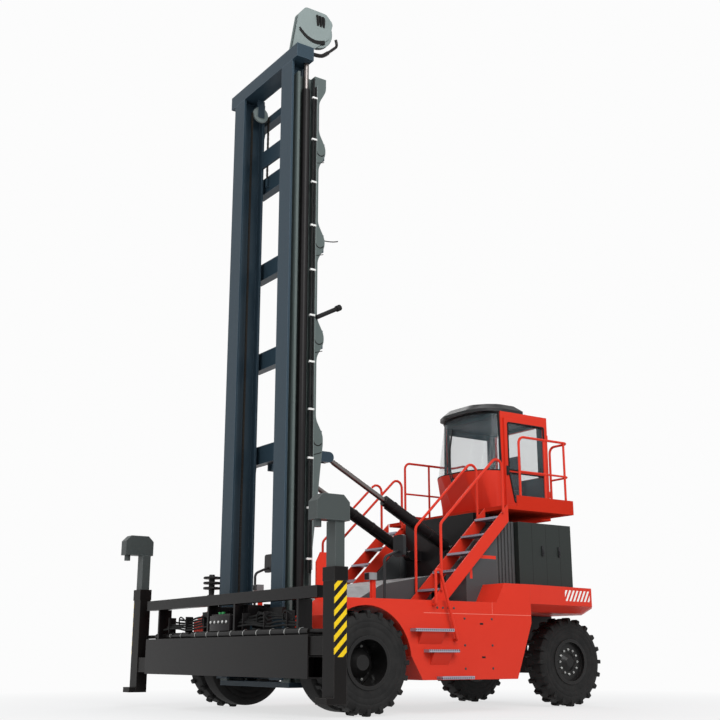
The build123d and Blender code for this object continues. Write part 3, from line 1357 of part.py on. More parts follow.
def extend_axis(low):
    """Place (y, z) of an extension cylinder on the main beam. The right one lies behind the left one."""
    y = MAIN_FRONT_Y + EXTEND_AXIS_IN + (EXTEND_AXIS_GAP if low else 0)
    return y, MAIN_Z + MAIN_H + EXTEND_BARREL_R - EXTEND_SINK


def extend_barrel(low):
    """Barrel of an extension cylinder on the main beam, and its bore, both drawn to the left."""
    y, z = extend_axis(low)
    end = MAIN_X - EXTEND_BARREL_END
    barrel = bar((-EXTEND_BARREL_IN, y, z), (end, y, z), EXTEND_BARREL_R)
    bore = bar((-EXTEND_BARREL_IN + EXTEND_ROD_LAP / 2, y, z), (end, y, z), EXTEND_ROD_R + RUN_FIT)
    return barrel, bore


def extend_rod(low):
    """Rod of an extension cylinder, fixed in the post's inner wall, drawn to the left."""
    y, z = extend_axis(low)
    end = POST_X - POST_W + POST_WALL / 2
    return bar((-EXTEND_BARREL_IN + EXTEND_ROD_LAP, y, z), (end, y, z), EXTEND_ROD_R)


def beam_bore(low):
    """Height range of the main beam's lower or upper bore."""
    half = (MAIN_H - 3 * MAIN_WALL) / 2
    z0 = MAIN_Z + MAIN_WALL + (0 if low else half + MAIN_WALL)
    return z0, z0 + half


def extension_beam(low):
    """Left telescopic beam with wear pads at its inner end. The right one runs in the lower bore."""
    z0, z1 = beam_bore(low)
    y0 = MAIN_FRONT_Y + MAIN_WALL
    y1 = MAIN_FRONT_Y + MAIN_DEPTH - MAIN_WALL
    f = BEAM_FIT
    beam = block(BEAM_TAIL_X, POST_X - POST_W, y0 + f, y1 - f, z0 + f, z1 - f)
    r = RUN_FIT
    pad = block(BEAM_TAIL_X, BEAM_TAIL_X + BEAM_PAD, y0 + r, y1 - r, z0 + r, z1 - r)
    return beam + pad


def post():
    """Left post: hollow sleeve with a collar at its top, closed foot and forward toe."""
    x0 = POST_X - POST_W
    y0 = MAIN_FRONT_Y
    y1 = y0 + POST_DEPTH
    c = COLLAR_T
    sleeve = block(x0, POST_X - c, y0 + c, y1 - c, POST_Z, POST_TOP_Z)
    collar = block(x0, POST_X, y0, y1, POST_TOP_Z - COLLAR_H, POST_TOP_Z)
    toe = block(x0 + POST_WALL, POST_X - c, y0 - FOOT_REACH, y1 - c, POST_Z, POST_Z + FOOT_H)
    shell = joined([sleeve, collar, toe])
    inside = column_section(0, POST_Z + FOOT_H, POST_TOP_Z)
    return shell - inside


def extension(low):
    """Left extension: telescopic beam, post and the cylinder's rod."""
    return joined([post(), extension_beam(low), extend_rod(low)])


def column_section(gap, z0, z1):
    """Room inside the post, or a bar that stands clear of its walls by a gap."""
    w = POST_WALL + COLLAR_T + gap
    return block(
        POST_X - POST_W + w, POST_X - w, MAIN_FRONT_Y + w, MAIN_FRONT_Y + POST_DEPTH - w, z0, z1,
    )


def column():
    """Left lifting column with wear pads, corner head and lifting hook."""
    shaft = column_section(COLUMN_FIT, COLUMN_Z, COLUMN_TOP_Z)
    pads = column_section(RUN_FIT, COLUMN_Z, COLUMN_Z + COLUMN_PAD_H)
    x0 = POST_X - HEAD_W
    front = MAIN_FRONT_Y - HEAD_FRONT
    top = COLUMN_TOP_Z + HEAD_H
    back = MAIN_FRONT_Y + HEAD_BACK
    head = side_plate([
        (front, COLUMN_TOP_Z), (front, top - HEAD_SLOPE), (front + HEAD_SLOPE, top), (back - HEAD_SLOPE, top),
        (back, top - HEAD_SLOPE), (back, COLUMN_TOP_Z),
    ], x0, POST_X)
    y = front + HOOK_R * 1.5
    x = POST_X - HEAD_W / 2
    hook = bar((x, y, COLUMN_TOP_Z - HOOK_H), (x, y, COLUMN_TOP_Z), HOOK_R)
    return joined([shaft, pads, head, hook])


def sided(side, shape):
    """The piece on the left, or its mirror image on the right."""
    return shape if side == "left" else mirror(shape, about=Plane.YZ)


def main():
    os.makedirs("parts", exist_ok=True)
    outer_mid, inner_mid = drive_tyre_mids()
    for side in ("left", "right"):
        duals = [tyre(outer_mid, 0), tyre(inner_mid, 0, lugged=False)]
        node(f"drive_tyres_{side}", [sided(side, piece) for piece in duals])
        node(f"drive_rims_{side}", [sided(side, drive_rims())])
        node(f"steer_tyre_{side}", [sided(side, tyre(steer_hub_x(), WHEELBASE))])
        node(f"steer_rim_{side}", [sided(side, steer_rim())])
        node(f"knuckle_{side}", [sided(side, knuckle())])
        node(f"body_{side}", [sided(side, body_side())])
        node(f"extension_{side}", [sided(side, extension(side == "right"))])
        node(f"column_{side}", [sided(side, column())])
    node("drive_axle", [drive_axle()])
    node("steer_axle", [steer_axle()])
    node("chassis_frame", [chassis_frame()])
    node("tail", [tail()])
    node("service_covers", [hood(), *pair(side_cover()), *pair(cooler())])
    node("battery", [battery()])
    node("pedestal", [pedestal()])
    node("platform", [platform()])
    rails = [platform_rail(), grab_loop()]
    rails += [stair_rail(STAIR_OUT_X + RAIL_R + RUN_FIT), stair_rail(STAIR_IN_X - RAIL_R - RUN_FIT)]
    node("handrails", [piece for rail in rails for piece in pair(rail)])
    node("stair_stringers", pair(stringer(STAIR_IN_X)) + pair(stringer(STAIR_OUT_X - STRINGER_T)))
    node("step_treads", [piece for tread in stair_treads() + side_steps() for piece in pair(tread)])
    node("mirrors", pair(mirror_arm()))
    node("lamps", pair(lamp_box()) + pair(tail_lamp()))
    node("cab_tub", [cab_floor() + cab_nose()])
    node("cab_sides", pair(cab_side()))
    node("cab_rear", [cab_rear()])
    node("cab_roof", [cab_roof()])
    node("roof_cap", [roof_cap()])
    node("cab_glass", [windscreen(), side_pane(), rear_pane(GLASS_T)])
    node("cab_door", [cab_door()])
    node("door_panes", door_panes())
    node("seat", [seat()])
    node("console", [console()])
    node("beacon", [beacon()])
    node("tilt_barrels", pair(tilt_barrel()))
    node("tilt_rods", pair(tilt_rod()))
    node("outer_rails", pair(outer_rail()))
    node("outer_beams", outer_beams())
    node("lift_barrels", pair(lift_barrel()))
    node("inner_rails", pair(inner_rail()))
    node("inner_beams", inner_beams())
    node("lift_rods", pair(lift_rod()))
    node("lift_chains", pair(chain_strand(chain_front_y(), CARRIAGE_Z + CARRIAGE_H)))
    node("anchor_chains", pair(chain_strand(chain_back_y(), chain_anchor_z())))
    node("sheaves", [*pair(chain_sheave()), *hose_sheave()])
    node("carriage", [carriage()])
    node("spreader_frame", [spreader_frame()])


if __name__ == "__main__":
    main()
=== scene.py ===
"""Looks of a battery-electric empty container handler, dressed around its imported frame."""
import json
import logging
import math
from collections.abc import Callable, Sequence
from dataclasses import dataclass, field, replace
from enum import Enum
from typing import Any

import bpy
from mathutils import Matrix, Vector

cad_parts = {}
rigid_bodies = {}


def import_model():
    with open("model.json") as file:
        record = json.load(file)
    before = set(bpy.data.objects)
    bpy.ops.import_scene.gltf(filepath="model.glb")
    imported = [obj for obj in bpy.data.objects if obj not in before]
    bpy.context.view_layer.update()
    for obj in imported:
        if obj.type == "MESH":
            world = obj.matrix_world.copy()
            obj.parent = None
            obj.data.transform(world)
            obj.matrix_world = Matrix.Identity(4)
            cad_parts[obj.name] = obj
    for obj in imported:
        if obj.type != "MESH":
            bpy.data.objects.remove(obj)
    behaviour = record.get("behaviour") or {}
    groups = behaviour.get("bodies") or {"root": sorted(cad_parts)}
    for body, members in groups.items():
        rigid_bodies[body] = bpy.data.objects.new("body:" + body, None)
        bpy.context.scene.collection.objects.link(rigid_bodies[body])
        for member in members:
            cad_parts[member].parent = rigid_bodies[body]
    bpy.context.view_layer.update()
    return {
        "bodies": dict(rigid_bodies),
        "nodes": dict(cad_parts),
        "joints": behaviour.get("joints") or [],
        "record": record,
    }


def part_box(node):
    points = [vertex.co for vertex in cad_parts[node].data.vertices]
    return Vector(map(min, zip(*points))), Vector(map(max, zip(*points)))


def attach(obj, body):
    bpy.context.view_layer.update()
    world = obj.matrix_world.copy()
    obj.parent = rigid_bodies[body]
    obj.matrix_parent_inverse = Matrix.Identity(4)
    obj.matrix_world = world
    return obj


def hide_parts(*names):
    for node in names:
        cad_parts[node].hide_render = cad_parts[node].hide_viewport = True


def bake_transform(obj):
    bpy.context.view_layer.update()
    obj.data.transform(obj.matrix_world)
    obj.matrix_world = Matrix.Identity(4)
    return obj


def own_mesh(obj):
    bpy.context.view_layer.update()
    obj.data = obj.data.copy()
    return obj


LOG = logging.getLogger("handler")
MM = 0.001
Material = bpy.types.Material
Node = bpy.types.Node
Piece = bpy.types.Object
Socket = bpy.types.NodeSocket
Tree = bpy.types.NodeTree
Colour = tuple[float, float, float, float]
Pair = tuple[float, float]
Point = tuple[float, float, float]
Run = tuple[float, tuple[Point, ...]]


class Side(Enum):
    """Side of the machine, with the sign of its X."""

    LEFT = 1
    RIGHT = -1

    @property
    def word(self) -> str:
        """Side as it stands in node and body names."""
        return self.name.lower()

    def box(self, x: Pair, y: Pair, z: Pair) -> tuple[Point, Point]:
        """Gives the corners of a box on this side.

        Args:
            x: Inner and outer X, as they are on the left.
            y: Front and rear Y.
            z: Foot and top.

        Returns:
            Lowest and highest corner.
        """
        near, far = sorted(self.value * edge for edge in x)
        return (near, y[0], z[0]), (far, y[1], z[1])


# Shader helpers

def linear(hex_code: str) -> Colour:
    """Turns an sRGB hex colour into linear light.

    Args:
        hex_code: Colour such as "#C8102E".

    Returns:
        Linear red, green and blue, and an alpha of 1.
    """
    parts = [int(hex_code[i:i + 2], 16) / 255 for i in (1, 3, 5)]
    red, green, blue = (c / 12.92 if c <= 0.04045 else ((c + 0.055) / 1.055) ** 2.4 for c in parts)
    return red, green, blue, 1.0


def set_node(tree: Tree, node: Node, settings: dict[Any, Any], links: dict[Any, Socket]) -> Node:
    """Sets a node's attributes and inputs, and links what feeds it.

    Args:
        tree: Node tree that holds the node.
        node: The node.
        settings: Attributes by name, and input values by name or index.
        links: Sockets that feed the inputs, by input name or index.

    Returns:
        The node.
    """
    for key, value in settings.items():
        if isinstance(key, str) and hasattr(node, key):
            setattr(node, key, value)
        else:
            node.inputs[key].default_value = value
    for key, socket in links.items():
        tree.links.new(socket, node.inputs[key])
    return node


def add_node(tree: Tree, kind: str, settings: dict[Any, Any] | None = None,
             links: dict[Any, Socket] | None = None) -> Node:
    """Adds a node with its settings and links.

    Args:
        tree: Node tree to add to.
        kind: Blender's type name of the node.
        settings: Attributes by name, and input values by name or index.
        links: Sockets that feed the inputs, by input name or index.

    Returns:
        The new node.
    """
    return set_node(tree, tree.nodes.new(kind), settings or {}, links or {})


# Finishes

@dataclass(frozen=True)
class StripeField:
    """Slanted stripes inside a box, in metres of the shared frame, or one plain band where the pitch is 0."""

    low: Point
    high: Point
    colour: str
    pitch_mm: float = 0.0
    slope: float = 0.0
    ground: str = ""

    def lay(self, tree: Tree, place: Socket, colour: Socket) -> Socket:
        """Lays the stripes over a paint.

        Args:
            tree: Node tree of the paint.
            place: Object coordinates.
            colour: Colour of the paint so far.

        Returns:
            Socket of the striped colour.
        """
        axes = add_node(tree, "ShaderNodeSeparateXYZ", {}, {0: place})
        inside = None
        for axis, low, high in zip("XYZ", self.low, self.high):
            half = (high - low) / 2
            near = add_node(tree, "ShaderNodeMath", {"operation": "COMPARE", 1: low + half, 2: half},
                            {0: axes.outputs[axis]}).outputs[0]
            inside = near if inside is None else add_node(
                tree, "ShaderNodeMath", {"operation": "MULTIPLY"}, {0: inside, 1: near}).outputs[0]
        share = inside
        if self.pitch_mm:
            run = add_node(tree, "ShaderNodeMath", {"operation": "MULTIPLY_ADD", 1: self.slope},
                           {0: axes.outputs["Y"], 2: axes.outputs["Z"]})
            count = add_node(tree, "ShaderNodeMath", {"operation": "DIVIDE", 1: self.pitch_mm * MM},
                             {0: run.outputs[0]})
            part = add_node(tree, "ShaderNodeMath", {"operation": "FRACT"}, {0: count.outputs[0]})
            band = add_node(tree, "ShaderNodeMath", {"operation": "GREATER_THAN", 1: 0.5},
                            {0: part.outputs[0]})
            share = add_node(tree, "ShaderNodeMath", {"operation": "MULTIPLY"},
                             {0: inside, 1: band.outputs[0]}).outputs[0]
        for over, mask in ((self.ground, inside), (self.colour, share)):
            if over:
                colour = add_node(tree, "ShaderNodeMix", {"data_type": "RGBA", 7: linear(over)},
                                  {0: mask, 6: colour}).outputs[2]
        return colour


@dataclass(frozen=True)
class Finish:
    """What every finish starts from: its name, its colour and a blank material."""

    name: str
    colour: str

    def start(self) -> tuple[Material, Tree, Node, Socket]:
        """Makes the blank material.

        Returns:
            The material, its node tree, its shader and its object coordinates.
        """
        material = bpy.data.materials.new(self.name)
        material.use_nodes = True
        tree = material.node_tree
        place = add_node(tree, "ShaderNodeTexCoord").outputs["Object"]
        return material, tree, tree.nodes["Principled BSDF"], place

    def build(self) -> Material:
        """Builds the material, in the way of each kind of finish."""
        raise NotImplementedError

    def tone(self, share: float) -> Colour:
        """Gives the finish's colour, darker or lighter by a share, in linear light."""
        red, green, blue = (min(1.0, part * share) for part in linear(self.colour)[:3])
        return red, green, blue, 1.0

    def relief(self, tree: Tree, height: Socket, strength: float, depth_mm: float, edge_mm: float) -> Socket:
        """Softens a surface's edges to the eye and gives it a fine relief.

        Args:
            tree: Node tree of the finish.
            height: Pattern of the relief.
            strength: Share of the relief that shows.
            depth_mm: Depth of the relief.
            edge_mm: Radius of the soft edges.

        Returns:
            Socket of the surface's normal.
        """
        soft = add_node(tree, "ShaderNodeBevel", {"samples": 4, "Radius": edge_mm * MM})
        return add_node(tree, "ShaderNodeBump", {"Strength": strength, "Distance": depth_mm * MM},
                        {"Height": height, "Normal": soft.outputs[0]}).outputs[0]


@dataclass(frozen=True)
class Coat(Finish):
    """Sprayed enamel on steel: a faint orange peel, soft worn edges and dust that settles low down."""

    roughness: float = 0.35
    clear_coat: float = 0.08
    specular: float = 0.18
    edge_mm: float = 5.0
    edge_colour: str = "#8A8580"
    edge_wear: float = 0.18
    dust_colour: str = "#8B8378"
    dust: float = 0.05
    speckle_mm: float = 35.0
    # Orange peel is under a millimetre across. It is drawn coarser, so that it shows from a step away.
    peel_mm: float = 9.0
    stripes: tuple[StripeField, ...] = ()

    def build(self) -> Material:
        """Builds the paint.

        Returns:
            Its material.
        """
        material, tree, shader, place = self.start()
        cloud = add_node(tree, "ShaderNodeTexNoise", {"Scale": 1.3, "Detail": 4.0, "Roughness": 0.6},
                         {"Vector": place}).outputs["Fac"]
        speckle = add_node(tree, "ShaderNodeTexNoise",
                           {"Scale": 1 / (self.speckle_mm * MM), "Detail": 5.0, "Roughness": 0.65},
                           {"Vector": place}).outputs["Fac"]
        colour = add_node(tree, "ShaderNodeMix", {"data_type": "RGBA", 6: self.tone(0.9), 7: self.tone(1.0)},
                          {0: cloud}).outputs[2]
        for stripes in self.stripes:
            colour = stripes.lay(tree, place, colour)
        height = add_node(tree, "ShaderNodeSeparateXYZ", {}, {0: place}).outputs["Z"]
        low = add_node(tree, "ShaderNodeMapRange", {1: 0.1, 2: 1.6, 3: self.dust, 4: self.dust * 0.15},
                       {0: height})
        dusty = add_node(tree, "ShaderNodeMath", {"operation": "MULTIPLY"}, {0: low.outputs[0], 1: cloud})
        worn = self._worn(tree, speckle)
        for over, share in ((self.edge_colour, worn), (self.dust_colour, dusty.outputs[0])):
            colour = add_node(tree, "ShaderNodeMix", {"data_type": "RGBA", 7: linear(over)},
                              {0: share, 6: colour}).outputs[2]
        rough = add_node(tree, "ShaderNodeMapRange", {3: self.roughness - 0.05, 4: self.roughness + 0.12},
                         {0: speckle})
        peel = add_node(tree, "ShaderNodeTexNoise", {"Scale": 1 / (self.peel_mm * MM), "Detail": 1.0},
                        {"Vector": place})
        normal = self.relief(tree, peel.outputs["Fac"], 0.06, 0.6, self.edge_mm)
        set_node(tree, shader,
                 {"Specular IOR Level": self.specular, "Coat Weight": self.clear_coat,
                  "Coat Roughness": 0.12},
                 {"Base Color": colour, "Roughness": rough.outputs[0], "Normal": normal})
        return material

    def _worn(self, tree: Tree, speckle: Socket) -> Socket:
        """Gives the share of worn paint, which is high in spots along sharp edges.

        Args:
            tree: Node tree of the paint.
            speckle: Fine noise that breaks up the wear.

        Returns:
            Socket of the share.
        """
        wide = add_node(tree, "ShaderNodeBevel", {"samples": 4, "Radius": 3 * self.edge_mm * MM})
        flat = add_node(tree, "ShaderNodeNewGeometry")
        dot = add_node(tree, "ShaderNodeVectorMath", {"operation": "DOT_PRODUCT"},
                       {0: wide.outputs[0], 1: flat.outputs["Normal"]})
        edge = add_node(tree, "ShaderNodeMapRange", {1: 0.99, 2: 0.80, 3: 0.0, 4: 1.0},
                        {0: dot.outputs["Value"]})
        spots = add_node(tree, "ShaderNodeMath", {"operation": "MULTIPLY"}, {0: edge.outputs[0], 1: speckle})
        return add_node(tree, "ShaderNodeMath",
                        {"operation": "MULTIPLY", "use_clamp": True, 1: self.edge_wear * 4},
                        {0: spots.outputs[0]}).outputs[0]


@dataclass(frozen=True)
class Rubber(Finish):
    """Moulded carbon-black rubber: matt, with a dusty bloom and a fine grain."""

    bloom: str
    grain_mm: float = 6.0

    def build(self) -> Material:
        """Builds the rubber.

        Returns:
            Its material.
        """
        material, tree, shader, place = self.start()
        cloud = add_node(tree, "ShaderNodeTexNoise", {"Scale": 5.0, "Detail": 6.0, "Roughness": 0.7},
                         {"Vector": place})
        ramp = add_node(tree, "ShaderNodeValToRGB", {}, {0: cloud.outputs["Fac"]})
        stops = ((0.35, self.colour), (0.8, self.bloom))
        for element, (position, colour) in zip(ramp.color_ramp.elements, stops):
            element.position = position
            element.color = linear(colour)
        grain = add_node(tree, "ShaderNodeTexNoise", {"Scale": 1 / (self.grain_mm * MM), "Detail": 3.0},
                         {"Vector": place})
        normal = self.relief(tree, grain.outputs["Fac"], 0.25, 1.2, 6)
        set_node(tree, shader, {"Roughness": 0.72, "Specular IOR Level": 0.2},
                 {"Base Color": ramp.outputs[0], "Normal": normal})
        return material


@dataclass(frozen=True)
class BareMetal(Finish):
    """Uncoated or plated metal, with streaks along its length."""

    roughness: float
    streak_mm: float = 4.0
    streak: float = 0.08

    def build(self) -> Material:
        """Builds the metal.

        Returns:
            Its material.
        """
        material, tree, shader, place = self.start()
        drawn = add_node(tree, "ShaderNodeMapping", {"Scale": (1.0, 1.0, 0.08)}, {"Vector": place})
        streaks = add_node(tree, "ShaderNodeTexNoise", {"Scale": 1 / (self.streak_mm * MM), "Detail": 4.0},
                           {"Vector": drawn.outputs[0]}).outputs["Fac"]
        colour = add_node(tree, "ShaderNodeMix", {"data_type": "RGBA", 6: self.tone(0.75), 7: self.tone(1.0)},
                          {0: streaks})
        rough = add_node(tree, "ShaderNodeMapRange",
                         {3: self.roughness - self.streak, 4: self.roughness + self.streak}, {0: streaks})
        soft = add_node(tree, "ShaderNodeBevel", {"samples": 4, "Radius": 3 * MM})
        set_node(tree, shader, {"Metallic": 1.0},
                 {"Base Color": colour.outputs[2], "Roughness": rough.outputs[0], "Normal": soft.outputs[0]})
        return material


@dataclass(frozen=True)
class Moulding(Finish):
    """Moulded plastic with a fine leather grain and a slight drift of its colour."""

    roughness: float
    grain_mm: float = 7.0
    grain: float = 0.1

    def build(self) -> Material:
        """Builds the plastic.

        Returns:
            Its material.
        """
        material, tree, shader, place = self.start()
        drift = add_node(tree, "ShaderNodeTexNoise", {"Scale": 6.0, "Detail": 3.0}, {"Vector": place})
        colour = add_node(tree, "ShaderNodeMix", {"data_type": "RGBA", 6: self.tone(0.8), 7: self.tone(1.0)},
                          {0: drift.outputs["Fac"]})
        cells = add_node(tree, "ShaderNodeTexVoronoi", {"Scale": 1 / (self.grain_mm * MM)}, {"Vector": place})
        normal = self.relief(tree, cells.outputs["Distance"], self.grain, 0.8, 5)
        set_node(tree, shader, {"Roughness": self.roughness, "Specular IOR Level": 0.3},
                 {"Base Color": colour.outputs[2], "Normal": normal})
        return material


@dataclass(frozen=True)
class SafetyGlass(Finish):
    """Tinted safety glass: clear, slightly green, with a faint dusty film."""

    film: str
    body: float = 0.13

    def build(self) -> Material:
        """Builds the glass, thin enough to see the cab's inside.

        Returns:
            Its material.
        """
        material, tree, shader, place = self.start()
        film = add_node(tree, "ShaderNodeTexNoise", {"Scale": 3.0, "Detail": 5.0}, {"Vector": place})
        colour = add_node(tree, "ShaderNodeMix",
                          {"data_type": "RGBA", 6: self.tone(1.0), 7: linear(self.film)},
                          {0: film.outputs["Fac"]})
        set_node(tree, shader, {"Roughness": 0.04, "Alpha": self.body, "Specular IOR Level": 0.5},
                 {"Base Color": colour.outputs[2]})
        return material


@dataclass(frozen=True)
class SeatCloth(Finish):
    """Woven seat cover: a plain weave that shows as small raised threads."""

    # Threads of such a cover are about a millimetre wide. They are drawn coarser, to show through the glass.
    thread_mm: float = 8.0

    def build(self) -> Material:
        """Builds the cloth.

        Returns:
            Its material.
        """
        material, tree, shader, place = self.start()
        weave = add_node(tree, "ShaderNodeTexChecker", {"Scale": 1 / (self.thread_mm * MM)},
                         {"Vector": place}).outputs["Fac"]
        colour = add_node(tree, "ShaderNodeMix", {"data_type": "RGBA", 6: self.tone(1.0), 7: self.tone(1.6)},
                          {0: weave})
        bump = add_node(tree, "ShaderNodeBump", {"Strength": 0.4, "Distance": 1.0 * MM}, {"Height": weave})
        set_node(tree, shader, {"Roughness": 0.9, "Sheen Weight": 0.3},
                 {"Base Color": colour.outputs[2], "Normal": bump.outputs[0]})
        return material


@dataclass(frozen=True)
class TreadPlate(Finish):
    """Pressed tread plate: pale worn metal with rows of dark round holes that grip a boot."""

    hole_mm: float = 34.0
    hole_colour: str = "#2A2A2E"

    def build(self) -> Material:
        """Builds the plate.

        Returns:
            Its material.
        """
        material, tree, shader, place = self.start()
        grid = add_node(tree, "ShaderNodeTexVoronoi", {"Scale": 1 / (self.hole_mm * MM), "Randomness": 0.0},
                        {"Vector": place}).outputs["Distance"]
        wear = add_node(tree, "ShaderNodeTexNoise", {"Scale": 9.0, "Detail": 5.0}, {"Vector": place})
        plate = add_node(tree, "ShaderNodeMix", {"data_type": "RGBA", 6: self.tone(0.78), 7: self.tone(1.0)},
                         {0: wear.outputs["Fac"]})
        hole = add_node(tree, "ShaderNodeMapRange", {1: 0.36, 2: 0.30, 3: 0.0, 4: 0.8}, {0: grid})
        colour = add_node(tree, "ShaderNodeMix", {"data_type": "RGBA", 7: linear(self.hole_colour)},
                          {0: hole.outputs[0], 6: plate.outputs[2]})
        bump = add_node(tree, "ShaderNodeBump", {"Strength": 0.5, "Distance": 3.0 * MM}, {"Height": grid})
        set_node(tree, shader, {"Metallic": 0.6, "Roughness": 0.5},
                 {"Base Color": colour.outputs[2], "Normal": bump.outputs[0]})
        return material


@dataclass
class Finishes:
    """Every finish of the machine: first by the slot of the record that it dresses, then the special ones."""

    kinds: dict[str, Finish] = field(default_factory=lambda: {
        # Two-pack enamel on sheet steel: a strong, even red with a low shine.
        "body_paint": Coat("red_enamel", "#D83522", roughness=0.45, clear_coat=0.04, specular=0.12,
                           edge_colour="#B5503C", edge_wear=0.10),
        # Enamel on rolled rails: a dark blue-grey with paler rubbed edges.
        "mast_paint": Coat("slate_enamel", "#2B3C47", roughness=0.42, specular=0.14, edge_colour="#6E8290",
                           edge_wear=0.2),
        # Powder coat on thin sheet: a flat mid grey.
        "cover_paint": Coat("grey_enamel", "#47494A", roughness=0.45),
        # Enamel on a smooth housing: a black with a hint of green and a soft shine.
        "battery_paint": Coat("battery_enamel", "#262B29", roughness=0.32, edge_colour="#596059"),
        # Enamel on castings and tubes: a plain black.
        "black_paint": Coat("black_enamel", "#151314", roughness=0.42, specular=0.12, edge_colour="#55514F",
                            dust=0.03),
        # Baked enamel on pressed rims: a deep black with bright nicks.
        "rim_paint": Coat("rim_enamel", "#121213", roughness=0.36, edge_colour="#4A4846", dust=0.04),
        # Moulded tyre rubber: black going grey where it is dusty.
        "tyre_rubber": Rubber("tyre_rubber", "#181818", "#2A2928"),
        # Nitrided and ground steel: a dark silver with clean reflections.
        "rod_chrome": BareMetal("nitrided_rod_steel", "#76716F", 0.28, streak=0.02),
        # Oiled link steel: nearly black with broad dull glints.
        "chain_steel": BareMetal("oiled_chain_steel", "#35322F", 0.5),
        # Punched and zinc-coated plate: pale, with a grid of dark holes.
        "step_metal": TreadPlate("pressed_tread_plate", "#A9A5B2"),
        # Injection-moulded plastic: a black with a fine leather grain.
        "cab_plastic": Moulding("black_plastic", "#1B1C1E", 0.5),
        # Float glass, bent and tinted: clear with a grey-green cast.
        "cab_glass": SafetyGlass("safety_glass", "#55686C", "#6E8088"),
        # Woven polyester: a dark grey with raised threads.
        "seat_fabric": SeatCloth("seat_cloth", "#26282B"),
        # Moulded acrylic: a red lens, nearly smooth.
        "lamp_lens": Moulding("red_lens", "#C8341C", 0.2, grain=0.02),
        # Moulded acrylic over a reflector: grey, broken up by coarse prisms.
        "lamp_clear": Moulding("clear_lens", "#8E9394", 0.18, grain=0.3, grain_mm=22.0),
        # Enamel on cut plate: a mid grey with a green cast.
        "side_plate_grey": Coat("side_plate_enamel", "#555F5D", roughness=0.45, edge_colour="#8C9493"),
        # The same enamel, paler: a painted highlight on the guard that stands in the light.
        "guard_grey": Coat("guard_enamel", "#838E8C", roughness=0.45, edge_colour="#6F7876"),
        # The same enamel, darker: painted shade on the lifting columns.
        "head_grey": Coat("column_enamel", "#3F4544", roughness=0.45, edge_colour="#7C8282"),
        # Fresh enamel on welded beams: the deepest black.
        "spreader_black": Coat("gloss_black_enamel", "#0D0B0C", roughness=0.34, specular=0.10,
                               edge_colour="#3E3A39", dust=0.02),
        # Enamel with grit in it: a red that takes no shine even at a low angle. It is darker than the body's
        # red, partly as painted shade under the platform.
        "grip_red": Coat("red_grip_enamel", "#C4301F", roughness=0.8, clear_coat=0.0, specular=0.0,
                         edge_colour="#B5503C", edge_wear=0.10),
        # Zinc plating on steel: bright, with soft streaks.
        "zinc": BareMetal("zinc_plated_steel", "#C3C4C2", 0.35),
        # Moulded nylon: a plain white.
        "white_clip": Moulding("white_nylon", "#E6E6E2", 0.5),
        # Vacuum-formed trim: a dull dark grey.
        "lining": Moulding("grey_trim_panel", "#3A3F40", 0.6),
        # Extruded rubber: a black without bloom.
        "seal": Rubber("seal_rubber", "#131313", "#1F1F1F"),
        # Moulded polythene: a clear green.
        "green_cap": Moulding("green_cap", "#2F8F4E", 0.4),
    })
    built: dict[str, Material] = field(default_factory=dict)

    def get(self, name: str) -> Material:
        """Gives a finish's material, built on its first use.

        Args:
            name: Material slot of the record, or name of a special finish.

        Returns:
            The material.
        """
        if name not in self.built:
            self.built[name] = self.kinds[name].build()
        return self.built[name]


# Studio

